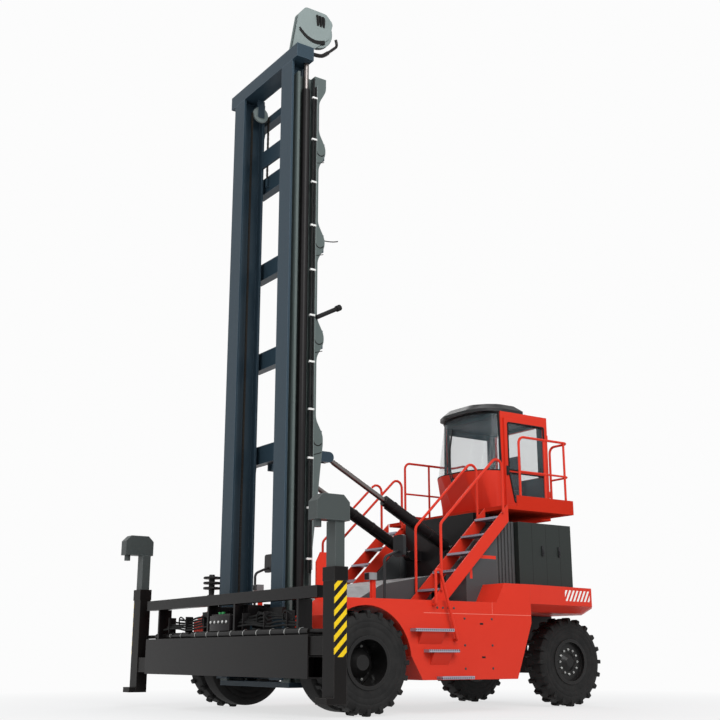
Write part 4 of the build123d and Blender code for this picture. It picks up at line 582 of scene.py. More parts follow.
@dataclass
class Studio:
    """Pale floor, soft lights and a camera low in front of the machine's left side."""

    floor_size: float = 160.0
    floor_grey: str = "#D4D4D4"
    pale: str = "#FCFCFC"
    sky: str = "#E9EEF4"
    sky_strength: float = 0.55
    shadow_share: float = 0.30
    shadow_reach: Pair = (4.0, 11.0)
    camera_place: Point = (14.300, -10.400, 0.761)
    camera_yaw: float = -55.52
    camera_pitch: float = 15.27
    lens_mm: float = 54.36
    sensor_mm: float = 36.0
    far_clip: float = 300.0
    lamps: tuple[tuple[str, Point, float, float], ...] = (
        ("key_light", (18.0, -4.0, 14.0), 12.0, 3000.0),
        ("front_light", (3.0, -18.0, 9.0), 10.0, 1000.0),
        ("rim_light", (-13.0, 9.0, 14.0), 10.0, 1300.0),
    )
    aim: Point = (0.0, 0.0, 4.0)

    def build(self) -> None:
        """Builds the floor, the sky, the lamps and the camera."""
        self._floor()
        self._sky()
        for name, place, size, power in self.lamps:
            lamp = bpy.data.lights.new(name, "AREA")
            lamp.size = size
            lamp.energy = power
            self._aimed(name, lamp, place, Vector(self.aim) - Vector(place))
        camera = bpy.data.cameras.new("camera")
        camera.lens = self.lens_mm
        camera.sensor_width = self.sensor_mm
        camera.clip_end = self.far_clip
        yaw = math.radians(self.camera_yaw)
        pitch = math.radians(self.camera_pitch)
        look = Vector((math.cos(pitch) * math.sin(yaw), math.cos(pitch) * math.cos(yaw), math.sin(pitch)))
        bpy.context.scene.camera = self._aimed("camera", camera, self.camera_place, look)

    def _aimed(self, name: str, data: bpy.types.ID, place: Point, look: Vector) -> Piece:
        """Adds a lamp or the camera.

        Args:
            name: Its name.
            data: Its lamp or camera data.
            place: Where it stands.
            look: Way that it looks.

        Returns:
            The new object.
        """
        obj = bpy.data.objects.new(name, data)
        bpy.context.scene.collection.objects.link(obj)
        obj.location = place
        obj.rotation_euler = look.to_track_quat("-Z", "Y").to_euler()
        return obj

    def _seen(self, tree: Tree) -> Socket:
        """Tells the rays that see a surface directly, in a polish or through glass from those that light it.

        Args:
            tree: Node tree to add to.

        Returns:
            Socket that is 1 for the rays that see.
        """
        path = add_node(tree, "ShaderNodeLightPath")
        seen = path.outputs["Is Camera Ray"]
        for word in ("Is Glossy Ray", "Is Transmission Ray"):
            seen = add_node(tree, "ShaderNodeMath", {"operation": "MAXIMUM"},
                            {0: seen, 1: path.outputs[word]}).outputs[0]
        return seen

    def _sky(self) -> None:
        """Builds an even sky that is plain white to the rays that see it."""
        world = bpy.data.worlds.new("studio_sky")
        bpy.context.scene.world = world
        world.use_nodes = True
        tree = world.node_tree
        tree.nodes.clear()
        light = add_node(tree, "ShaderNodeBackground",
                         {"Color": linear(self.sky), "Strength": self.sky_strength})
        white = add_node(tree, "ShaderNodeBackground", {"Color": linear(self.pale), "Strength": 1.0})
        mixed = add_node(tree, "ShaderNodeMixShader", {},
                         {0: self._seen(tree), 1: light.outputs[0], 2: white.outputs[0]})
        add_node(tree, "ShaderNodeOutputWorld", {}, {"Surface": mixed.outputs[0]})

    def _floor(self) -> None:
        """Builds the floor, which keeps a share of the shadow and turns plain white further out."""
        begin()
        bpy.ops.mesh.primitive_plane_add(size=self.floor_size, location=(0, 0, 0))
        floor = bpy.context.object
        floor.name = "studio_floor"
        material = bpy.data.materials.new("pale_floor")
        material.use_nodes = True
        tree = material.node_tree
        shader = tree.nodes["Principled BSDF"]
        set_node(tree, shader,
                 {"Base Color": linear(self.floor_grey), "Roughness": 0.9, "Specular IOR Level": 0.0}, {})
        place = add_node(tree, "ShaderNodeTexCoord").outputs["Object"]
        away = add_node(tree, "ShaderNodeVectorMath", {"operation": "LENGTH"}, {0: place})
        near, far = self.shadow_reach
        plain = add_node(tree, "ShaderNodeMapRange", {1: near, 2: far, 3: 1 - self.shadow_share, 4: 1.0},
                         {0: away.outputs["Value"]})
        share = add_node(tree, "ShaderNodeMath", {"operation": "MULTIPLY"},
                         {0: self._seen(tree), 1: plain.outputs[0]})
        white = add_node(tree, "ShaderNodeEmission", {"Color": linear(self.pale), "Strength": 1.0})
        mixed = add_node(tree, "ShaderNodeMixShader", {},
                         {0: share.outputs[0], 1: shader.outputs[0], 2: white.outputs[0]})
        tree.links.new(mixed.outputs[0], tree.nodes["Material Output"].inputs["Surface"])
        floor.data.materials.append(material)


# Modelling helpers

def begin() -> None:
    """Leaves edit mode and deselects everything."""
    if bpy.context.object and bpy.context.object.mode != "OBJECT":
        bpy.ops.object.mode_set(mode="OBJECT")
    bpy.ops.object.select_all(action="DESELECT")


def activate(obj: Piece, edit: bool = False) -> None:
    """Selects one object alone and makes it active.

    Args:
        obj: The object.
        edit: Whether it opens in edit mode with all of its mesh selected.
    """
    begin()
    obj.select_set(True)
    bpy.context.view_layer.objects.active = obj
    if edit:
        bpy.ops.object.mode_set(mode="EDIT")
        bpy.ops.mesh.select_all(action="SELECT")


def settle(obj: Piece) -> Piece:
    """Puts an object's place, turn and size into its mesh.

    Args:
        obj: The object.

    Returns:
        The same object, at the origin.
    """
    activate(obj)
    bpy.ops.object.transform_apply(location=True, rotation=True, scale=True)
    return obj


def placed(obj: Piece, place: Sequence[float] = (0.0, 0.0, 0.0), axis: str = "z", turn: float = 0.0) -> Piece:
    """Turns a piece about an axis and moves it to its place.

    Args:
        obj: Piece at the origin.
        place: Its new place.
        axis: Axis of the turn, "x", "y" or "z".
        turn: Angle of the turn.

    Returns:
        The piece.
    """
    setattr(obj.rotation_euler, axis, turn)
    obj.location = place
    return settle(obj)


def closed(obj: Piece, merge_mm: float = 0.0) -> Piece:
    """Merges a piece's doubles and turns its faces outwards.

    Args:
        obj: The piece.
        merge_mm: Distance within which points are merged.

    Returns:
        The piece.
    """
    activate(obj, edit=True)
    if merge_mm:
        bpy.ops.mesh.remove_doubles(threshold=merge_mm * MM)
    bpy.ops.mesh.normals_make_consistent(inside=False)
    begin()
    return obj


def pick(obj: Piece, kind: str, test: Callable[[Vector], bool]) -> None:
    """Opens a piece in edit mode with the chosen elements selected.

    Args:
        obj: The piece.
        kind: "VERT", "EDGE" or "FACE".
        test: Says whether an element is chosen, by a face's middle, or by an edge's ends and middle.
    """
    activate(obj)
    mesh = obj.data
    for part in (mesh.vertices, mesh.edges, mesh.polygons):
        part.foreach_set("select", [False] * len(part))
    if kind == "VERT":
        for vertex in mesh.vertices:
            vertex.select = test(vertex.co)
    elif kind == "EDGE":
        for edge in mesh.edges:
            a, b = (mesh.vertices[i].co for i in edge.vertices)
            edge.select = test((a + b) / 2) and test(a) and test(b)
    else:
        for face in mesh.polygons:
            face.select = test(face.center)
    bpy.ops.object.mode_set(mode="EDIT")
    bpy.ops.mesh.select_mode(type=kind)


def raise_faces(obj: Piece, test: Callable[[Vector], bool], inset: float, way: Point) -> Piece:
    """Insets the chosen faces of a piece and moves them in or out.

    Args:
        obj: The piece.
        test: Says whether a face is chosen, by its middle.
        inset: Width of the border that stays.
        way: Way that the faces move.

    Returns:
        The piece.
    """
    pick(obj, "FACE", test)
    bpy.ops.mesh.inset(thickness=inset)
    bpy.ops.mesh.extrude_region_move(TRANSFORM_OT_translate={"value": way})
    begin()
    return obj


def cube(low: Sequence[float], high: Sequence[float]) -> Piece:
    """Adds a block with sharp edges, to be shaped further.

    Args:
        low: Lowest corner.
        high: Highest corner.

    Returns:
        The new object.
    """
    begin()
    bpy.ops.mesh.primitive_cube_add(size=1, location=[(a + b) / 2 for a, b in zip(low, high)])
    obj = bpy.context.object
    obj.scale = [b - a for a, b in zip(low, high)]
    return settle(obj)


def slab(low: Sequence[float], high: Sequence[float], round_mm: float = 4.0, segments: int = 2) -> Piece:
    """Models a block with rounded edges.

    Args:
        low: Lowest corner.
        high: Highest corner.
        round_mm: Radius of its edges.
        segments: Steps of each rounding.

    Returns:
        The block.
    """
    obj = cube(low, high)
    activate(obj, edit=True)
    bpy.ops.mesh.bevel(offset=round_mm * MM, segments=segments, affect="EDGES")
    begin()
    return obj


def turned(profile: list[Pair], segments: int = 48, hollow: bool = False) -> Piece:
    """Models a round piece about the X axis by extruding and scaling a ring.

    Args:
        profile: Points (x, radius) from one end to the other.
        segments: Sides of the ring.
        hollow: Whether the profile closes on itself round a bore, so that its ends get no cap.

    Returns:
        The piece, about the origin.
    """
    if hollow:
        profile = profile + profile[:1]
    begin()
    start, radius = profile[0]
    fill = "NOTHING" if hollow else "NGON"
    bpy.ops.mesh.primitive_circle_add(vertices=segments, radius=radius, fill_type=fill,
                                      location=(start, 0, 0), rotation=(0, math.pi / 2, 0))
    obj = settle(bpy.context.object)
    activate(obj, edit=True)
    for (x0, r0), (x1, r1) in zip(profile, profile[1:]):
        # A ring that stays in its plane moves by a tenth of a millimetre, as an extrusion by 0 is refused.
        bpy.ops.mesh.extrude_region_move(TRANSFORM_OT_translate={"value": (x1 - x0 or 0.1 * MM, 0, 0)})
        bpy.ops.transform.resize(value=(1, r1 / r0, r1 / r0), center_override=(x1, 0, 0))
    return closed(obj, 0.5)


def hoop(radius: float, half: float, height: float, segments: int) -> Piece:
    """Models a flat band round a barrel, about the X axis.

    Args:
        radius: Radius of the barrel.
        half: Half of the band's width.
        height: How far the band stands up.
        segments: Sides of the band.

    Returns:
        The band, about the origin.
    """
    bore = radius + 0.5 * MM
    top = radius + height
    return turned([(-half, bore), (-half, top), (half, top), (half, bore)], segments, hollow=True)


def hose(points: Sequence[Point], radius_mm: float, cyclic: bool = False) -> Piece:
    """Models a smooth round hose, pipe or rubber seal along a route.

    Args:
        points: Control points of its line.
        radius_mm: Its radius.
        cyclic: Whether the line closes on itself.

    Returns:
        The piece, as a mesh.
    """
    curve = bpy.data.curves.new("run", "CURVE")
    curve.dimensions = "3D"
    curve.bevel_depth = radius_mm * MM
    curve.bevel_resolution = 2
    curve.resolution_u = 6
    curve.use_fill_caps = True
    spline = curve.splines.new("NURBS")
    spline.points.add(len(points) - 1)
    for point, place in zip(spline.points, points):
        point.co = (*place, 1.0)
    spline.use_cyclic_u = cyclic
    spline.order_u = 3
    spline.use_endpoint_u = not cyclic
    obj = bpy.data.objects.new("run", curve)
    bpy.context.scene.collection.objects.link(obj)
    activate(obj)
    bpy.ops.object.convert(target="MESH")
    return closed(obj, 0.05)


def copied(obj: Piece, shift: Sequence[float] = (0.0, 0.0, 0.0), mirrored: bool = False) -> Piece:
    """Copies a piece with its own mesh.

    Args:
        obj: Piece to copy.
        shift: Way to move the copy.
        mirrored: Whether the copy is first mirrored across the machine's middle.

    Returns:
        The copy.
    """
    activate(obj)
    bpy.ops.object.duplicate(linked=False)
    copy = bpy.context.object
    copy.location = shift
    copy.scale.x = -1 if mirrored else 1
    settle(copy)
    return closed(copy) if mirrored else copy


def joined(pieces: list[Piece]) -> Piece:
    """Joins several pieces into one object.

    Args:
        pieces: The pieces, of which the first takes in the others.

    Returns:
        The joined piece.
    """
    activate(pieces[0])
    for piece in pieces[1:]:
        piece.select_set(True)
    if len(pieces) > 1:
        bpy.ops.object.join()
    return bpy.context.object


def repeated(obj: Piece, count: int, step: Point) -> Piece:
    """Repeats a piece along a line.

    Args:
        obj: Piece to repeat.
        count: Number of pieces.
        step: Way from one to the next.

    Returns:
        The row as one piece.
    """
    row = obj.modifiers.new("row", "ARRAY")
    row.use_relative_offset = False
    row.use_constant_offset = True
    row.constant_offset_displace = step
    row.count = count
    activate(obj)
    bpy.ops.object.modifier_apply(modifier="row")
    return obj


def ringed(obj: Piece, count: int) -> Piece:
    """Repeats a piece round the X axis.

    Args:
        obj: Piece to repeat, with its object at the origin.
        count: Number of pieces in the ring.

    Returns:
        The ring as one piece.
    """
    begin()
    bpy.ops.object.empty_add(location=(0, 0, 0), rotation=(2 * math.pi / count, 0, 0))
    hub = bpy.context.object
    ring = obj.modifiers.new("ring", "ARRAY")
    ring.use_relative_offset = False
    ring.use_object_offset = True
    ring.offset_object = hub
    ring.count = count
    activate(obj)
    bpy.ops.object.modifier_apply(modifier="ring")
    bpy.data.objects.remove(hub)
    return obj


@dataclass
class Fitter:
    """Dresses finished pieces and hands them to the body that carries them."""

    finishes: Finishes

    def dress(self, obj: Piece, name: str, finish: str, slot: str) -> Piece:
        """Names a piece and gives it its finish.

        Args:
            obj: Finished piece.
            name: Its name.
            finish: Name of its finish.
            slot: Material slot of the record that it follows; not used.

        Returns:
            The piece.
        """
        activate(obj)
        obj.name = name
        obj.data.name = name
        obj.data.materials.clear()
        obj.data.materials.append(self.finishes.get(finish))
        LOG.info("%s: %d faces", name, len(obj.data.polygons))
        return obj

    def fit(self, obj: Piece, name: str, finish: str, body: str, slot: str) -> Piece:
        """Dresses a piece and fixes it to a body.

        Args:
            obj: Finished piece.
            name: Its name.
            finish: Name of its finish.
            body: Body that it moves with.
            slot: Material slot of the record that it follows.

        Returns:
            The piece.
        """
        self.dress(obj, name, finish, slot)
        bpy.ops.object.shade_smooth_by_angle(angle=math.radians(35))
        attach(obj, body)
        return obj

    def fit_pair(self, left: Piece, name: str, finish: str, body: str, slot: str) -> None:
        """Fits a left piece and its mirror image.

        Args:
            left: Left piece.
            name: Name without its side.
            finish: Name of the finish.
            body: Body that both move with.
            slot: Material slot of the record.
        """
        right = copied(left, mirrored=True)
        self.fit(left, f"{name}_left", finish, body, slot)
        self.fit(right, f"{name}_right", finish, body, slot)


# Sub-assemblies

@dataclass(frozen=True)
class WheelSet:
    """Wheels of one axle: their names in the frame, the ring of their nuts and how deep the disc lies."""

    word: str
    node: str
    body: str
    nut_ring: float
    disc_inset: float


@dataclass
class Wheels:
    """Lugged tyres that stand for the plain ones, and nuts on the rims."""

    fitter: Fitter
    sets: tuple[WheelSet, ...] = (WheelSet("drive", "drive_tyres", "drive_wheels", 0.250, 0.379),
                                  WheelSet("steer", "steer_tyre", "steer_wheel", 0.190, 0.076))
    lug_count: int = 20
    lug_width: float = 0.062
    lug_span: float = 0.150
    lug_root: float = 0.585
    lug_height: float = 0.036
    lug_corner: float = 0.034
    lug_taper: float = 0.72
    bead_radius: float = 0.3312
    bead_half: float = 0.1635
    # Inset from the tyre's side and radius, from the bead to the shoulder, with two raised rings.
    wall: tuple[Pair, ...] = ((0.015, 0.400), (0.008, 0.446), (0.010, 0.452), (0.010, 0.462), (0.005, 0.470),
                              (0.001, 0.524), (0.005, 0.532), (0.001, 0.542), (0.0, 0.566), (0.016, 0.616))
    nut_count: int = 12
    nut_radius: float = 0.019
    nut_height: float = 0.022
    stud_height: float = 0.014

    def build(self) -> None:
        """Builds the wheels of both sides."""
        low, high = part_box("steer_tyre_left")
        width = high[0] - low[0]
        tyres = [self._tyre((high[2] - low[2]) / 2, width, lugged) for lugged in (True, False)]
        nuts = [self._nuts(wheels.nut_ring) for wheels in self.sets]
        for side in Side:
            for wheels, ring in zip(self.sets, nuts):
                self._fit(side, wheels, tyres, ring, width)
        for model in (*tyres, *nuts):
            bpy.data.objects.remove(model)

    def _tyre(self, radius: float, width: float, lugged: bool) -> Piece:
        """Models one tyre about the origin.

        Args:
            radius: Radius over the lugs.
            width: Width over the sidewalls.
            lugged: Whether it carries lugs.

        Returns:
            The tyre.
        """
        half = width / 2
        tread = radius - self.lug_height
        wall = [(self.bead_half, self.bead_radius), (self.bead_half + 0.002, 0.357)]
        wall += [(half - inset, r) for inset, r in self.wall]
        wall += [(half - 0.045, tread - 0.003), (half - 0.080, tread)]
        carcass = turned([(-x, r) for x, r in wall] + wall[::-1], 120, hollow=True)
        if not lugged:
            return carcass
        lug = self._lug(radius, half)
        other = placed(copied(lug, mirrored=True), axis="x", turn=math.pi / self.lug_count)
        return joined([carcass, ringed(joined([lug, other]), self.lug_count)])

    def _lug(self, radius: float, half: float) -> Piece:
        """Models one shoulder lug under the hub, with a round outer corner and a narrow inner end.

        Args:
            radius: Radius over the lugs.
            half: Half of the tyre's width.

        Returns:
            The lug.
        """
        inner = half - self.lug_span
        lug = cube((inner, -self.lug_width / 2, -radius), (half, self.lug_width / 2, -self.lug_root))
        pick(lug, "VERT", lambda co: co.x < inner + MM)
        bpy.ops.transform.resize(value=(1, self.lug_taper, 1), center_override=(inner, 0, 0))
        pick(lug, "EDGE", lambda co: co.x > half - MM and co.z < -radius + MM)
        bpy.ops.mesh.bevel(offset=self.lug_corner, segments=3, affect="EDGES")
        bpy.ops.mesh.select_all(action="SELECT")
        bpy.ops.mesh.bevel(offset=5 * MM, segments=1, affect="EDGES")
        begin()
        return lug

    def _nuts(self, ring: float) -> Piece:
        """Models a ring of wheel nuts, each with its stud's end.

        Args:
            ring: Radius of the ring.

        Returns:
            The ring of nuts about the origin, standing on X 0.
        """
        begin()
        bpy.ops.mesh.primitive_cylinder_add(vertices=6, radius=self.nut_radius, depth=self.nut_height,
                                            location=(self.nut_height / 2, 0, ring),
                                            rotation=(0, math.pi / 2, 0))
        nut = settle(bpy.context.object)
        raise_faces(nut, lambda co: co.x > self.nut_height - MM, 0.008, (self.stud_height, 0, 0))
        return ringed(nut, self.nut_count)

    def _fit(self, side: Side, wheels: WheelSet, tyres: list[Piece], nuts: Piece, width: float) -> None:
        """Fits one wheel's nuts and its lugged tyre, with a plain one inside it on a dual wheel.

        Args:
            side: Side of the machine.
            wheels: Wheels of the axle.
            tyres: Lugged tyre and plain tyre.
            nuts: Ring of nuts.
            width: Width of a tyre.
        """
        node = f"{wheels.node}_{side.word}"
        body = f"{wheels.body}_{side.word}"
        low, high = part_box(node)
        y, z = ((low[i] + high[i]) / 2 for i in (1, 2))
        inner, outer = sorted(abs(corner[0]) for corner in (low, high))
        pieces = [copied(tyres[0], (side.value * (outer - width / 2), y, z))]
        if outer - inner > 1.5 * width:
            pieces.append(copied(tyres[1], (side.value * (inner + width / 2), y, z)))
        tread = joined(pieces)
        self.fitter.fit(tread, f"{wheels.word}_tread_{side.word}", "tyre_rubber", body, "tyre_rubber")
        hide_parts(node)
        ring = copied(nuts, (side.value * (outer - wheels.disc_inset), y, z), mirrored=side is Side.RIGHT)
        self.fitter.fit(ring, f"{wheels.word}_nuts_{side.word}", "zinc", body, "chain_steel")


@dataclass
class Mast:
    """Welds, hoses, clips and leaf chains of the mast, its guard's fittings and the tilt barrels' hoses."""

    fitter: Fitter
    plate_x: float = 1.000
    bulges: tuple[float, ...] = (3.842, 5.388, 6.934, 8.480)
    weld_y: float = -2.020
    weld_drop: float = 0.020
    weld_radius: float = 0.075
    weld_sweep: range = range(190, 331, 20)
    weld_mm: float = 8.0
    seam: tuple[Pair, ...] = ((-2.100, -0.235), (-2.020, -0.215), (-1.955, -0.190))
    seam_mm: float = 6.0
    strip_y: Pair = (-2.100, -2.090)
    strip_z: Pair = (1.95, 9.60)
    hose_x: float = 1.018
    hose_mm: float = 15.0
    hose_places: Pair = (-2.172, -2.130)
    hose_foot: float = 1.90
    hose_head: float = 9.55
    hose_straight: float = 0.30
    # Radius in millimetres and route of the hose's bend over the rail's top, and of the arms behind the rail.
    rail_runs: tuple[Run, ...] = (
        (15.0, ((1.018, -2.172, 9.53), (1.018, -2.172, 9.67), (0.960, -2.110, 9.72), (0.900, -2.020, 9.65))),
        (34.0, ((1.030, -2.080, 5.70), (1.032, -1.900, 5.80), (1.034, -1.720, 5.90))),
        (48.0, ((1.034, -1.730, 5.894), (1.034, -1.700, 5.911), (1.034, -1.660, 5.934))),
        (9.0, ((0.985, -1.945, 6.98), (1.010, -1.800, 6.97), (1.020, -1.700, 7.01))),
    )
    clip_count: int = 11
    clip_y: Pair = (-2.198, -2.106)
    clip_foot: float = 0.185
    clip_height: float = 0.030
    clip_margin: float = 0.400
    guard_hose_places: tuple[float, ...] = (-2.090, -2.035, -1.980)
    guard_hose: tuple[Point, ...] = ((-0.020, 0.0, 10.900), (0.022, 0.0, 10.885), (0.028, 0.010, 10.800),
                                     (-0.010, 0.020, 10.720))
    guard_hose_mm: float = 23.0
    guard_slot: tuple[Pair, ...] = ((-2.420, 10.570), (-2.330, 10.480), (-2.190, 10.420), (-2.050, 10.420),
                                    (-1.940, 10.470))
    guard_slot_mm: float = 24.0
    guard_slot_depth: float = 0.014
    guard_slot_rows: Pair = (0.0, -0.034)
    guard_arm: tuple[Run, ...] = (
        (24.0, ((0.92, -1.86, 10.30), (0.92, -1.74, 10.42), (0.92, -1.66, 10.50), (0.92, -1.70, 10.60))),
        (34.0, ((0.92, -2.20, 10.185), (0.92, -2.02, 10.19), (0.92, -1.92, 10.24), (0.92, -1.85, 10.31))),
    )
    chain_pitch: float = 0.080
    chain_width: float = 0.030
    chain_gap: float = 0.004
    chain_waist: float = 0.68
    pin_radius: float = 0.008
    pin_foot: float = 0.012
    carriage_rise: float = 7.9
    tilt_x: float = 0.550
    tilt_base: Pair = (0.820, 2.410)
    tilt_eye: Pair = (-1.570, 3.680)
    tilt_radius: float = 0.085
    tilt_hose_mm: float = 13.0
    tilt_hose_drop: float = 0.014
    tilt_hose_stations: tuple[float, ...] = (0.36, 0.6, 0.9, 1.2, 1.44)
    tilt_band_stations: tuple[float, ...] = (0.5, 0.9, 1.3)

    def build(self) -> None:
        """Builds the mast's pieces."""
        self._welds()
        self._hoses()
        self._guard()
        self._chains()
        self._tilt_hoses()

    def _welds(self) -> None:
        """Models the weld arcs and seams on the side plates' bulges, black as painted shade under the bulges,
        and the left plate's edge strip, pale as a painted highlight.
        """
        runs = []
        for z in self.bulges:
            arc = [(self.plate_x, self.weld_y + self.weld_radius * math.cos(turn),
                    z - self.weld_drop + self.weld_radius * math.sin(turn))
                   for turn in map(math.radians, self.weld_sweep)]
            runs.append(hose(arc, self.weld_mm))
            runs.append(hose([(self.plate_x, y, z + lift) for y, lift in self.seam], self.seam_mm))
        # Black rubber rather than the plates' grey: painted shade under each bulge.
        self.fitter.fit_pair(joined(runs), "mast_welds", "seal", "mast_outer", "mast_paint")
        # Only the near side gets this pale strip: a painted highlight along the plate's edge.
        strip_x = (self.plate_x - 0.002, self.plate_x + 0.007)
        strip = slab(*Side.LEFT.box(strip_x, self.strip_y, self.strip_z), 2)
        self.fitter.fit(strip, "mast_edge_strip", "guard_grey", "mast_outer", "mast_paint")

    def _hoses(self) -> None:
        """Models the two hoses on the left rail with their clips, and the short arms behind it."""
        heights = (self.hose_foot, self.hose_foot + self.hose_straight,
                   self.hose_head - self.hose_straight, self.hose_head)
        runs = [hose([(self.hose_x, y, z) for z in heights], self.hose_mm) for y in self.hose_places]
        runs += [hose(route, radius) for radius, route in self.rail_runs]
        self.fitter.fit(joined(runs), "mast_hoses", "seal", "mast_outer", "tyre_rubber")
        pitch = (self.hose_head - self.hose_foot - self.clip_margin) / (self.clip_count - 1)
        foot = self.hose_foot + self.clip_foot
        clip = slab(*Side.LEFT.box((self.plate_x - 0.004, self.hose_x + 0.019), self.clip_y,
                                   (foot, foot + self.clip_height)), 3)
        clips = repeated(clip, self.clip_count, (0, 0, pitch))
        self.fitter.fit(clips, "mast_clips", "white_clip", "mast_outer", "step_metal")

    def _guard(self) -> None:
        """Models the hose ends, black tubes as painted shade in the guard's wide slot, and the arm of the
        hose sheave's guard.
        """
        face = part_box("sheaves")[1][0]
        ends = [hose([(face + out, y + back, z) for out, back, z in self.guard_hose], self.guard_hose_mm)
                for y in self.guard_hose_places]
        self.fitter.fit(joined(ends), "guard_hoses", "seal", "mast_inner", "tyre_rubber")
        # Black tubes just inside the guard's face: painted shade in its slot.
        x = face - self.guard_slot_depth
        rows = [hose([(x, y, z + lift) for y, z in self.guard_slot], self.guard_slot_mm)
                for lift in self.guard_slot_rows]
        self.fitter.fit(joined(rows), "guard_slot", "seal", "mast_inner", "tyre_rubber")
        arm = [hose(route, radius) for radius, route in self.guard_arm]
        self.fitter.fit(joined(arm), "guard_arm", "black_paint", "mast_inner", "black_paint")

    def _link(self, x: float, y: float, z: float, depth: float) -> Piece:
        """Models one link of a leaf chain: two waisted plates and its pin.

        Args:
            x: Middle of the chain across the machine.
            y: Middle of the chain along the machine.
            z: Foot of the link.
            depth: Depth of a plate.

        Returns:
            The link.
        """
        pieces = []
        middle = z + self.chain_pitch / 2
        half = (self.chain_width / 6, depth / 2, (self.chain_pitch - self.chain_gap) / 2)
        for side in Side:
            place = (x - side.value * self.chain_width / 3, y, middle)
            plate = cube([a - b for a, b in zip(place, half)], [a + b for a, b in zip(place, half)])
            activate(plate, edit=True)
            bpy.ops.mesh.subdivide(number_cuts=1)
            pick(plate, "VERT", lambda co: abs(co.z - middle) < self.chain_gap)
            bpy.ops.transform.resize(value=(1, self.chain_waist, 1), center_override=(x, y, middle))
            begin()
            pieces.append(plate)
        reach = self.chain_width / 2 + 0.003
        pin = turned([(-reach, self.pin_radius), (reach, self.pin_radius)], 8)
        return joined([*pieces, placed(pin, (x, y, z + self.pin_foot))])

    def _chains(self) -> None:
        """Models the strands that shorten as the carriage rises, and those that stretch with the mast."""
        for node in ("lift_chains", "anchor_chains"):
            low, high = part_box(node)
            y = (low[1] + high[1]) / 2
            rise = high[2] - low[2]
            count = int(rise / self.chain_pitch)
            depth = high[1] - low[1] - self.chain_gap
            link = self._link(high[0] - self.chain_width / 2, y, low[2] + MM, depth)
            left = repeated(link, count, (0, 0, rise / count))
            strands = joined([left, copied(left, mirrored=True)])
            if node == "lift_chains":
                self.fitter.fit(strands, "lift_chain", "chain_steel", "mast_inner", "chain_steel")
                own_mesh(strands)
            else:
                self.fitter.dress(strands, "anchor_chain", "chain_steel", "chain_steel")
                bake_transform(strands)
            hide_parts(node)

    def _tilt_hoses(self) -> None:
        """Models the hose under each tilt barrel, with the bands that hold it."""
        base = Vector((self.tilt_x, *self.tilt_base))
        run = (Vector((self.tilt_x, *self.tilt_eye)) - base).normalized()
        down = Vector((0.0, -run.z, run.y)) * (self.tilt_radius + self.tilt_hose_drop)
        line = hose([tuple(base + run * d + down) for d in self.tilt_hose_stations], self.tilt_hose_mm)
        band = placed(hoop(self.tilt_radius, 0.014, 0.007, 40), axis="z", turn=-math.pi / 2)
        placed(band, axis="x", turn=-math.atan2(run.z, -run.y))
        bands = joined([copied(band, base + run * d) for d in self.tilt_band_stations])
        bpy.data.objects.remove(band)
        for left, name, finish, slot in ((line, "tilt_hoses", "seal", "tyre_rubber"),
                                         (bands, "tilt_bands", "black_paint", "black_paint")):
            self.fitter.fit(joined([left, copied(left, mirrored=True)]), name, finish, "tilt_barrels", slot)


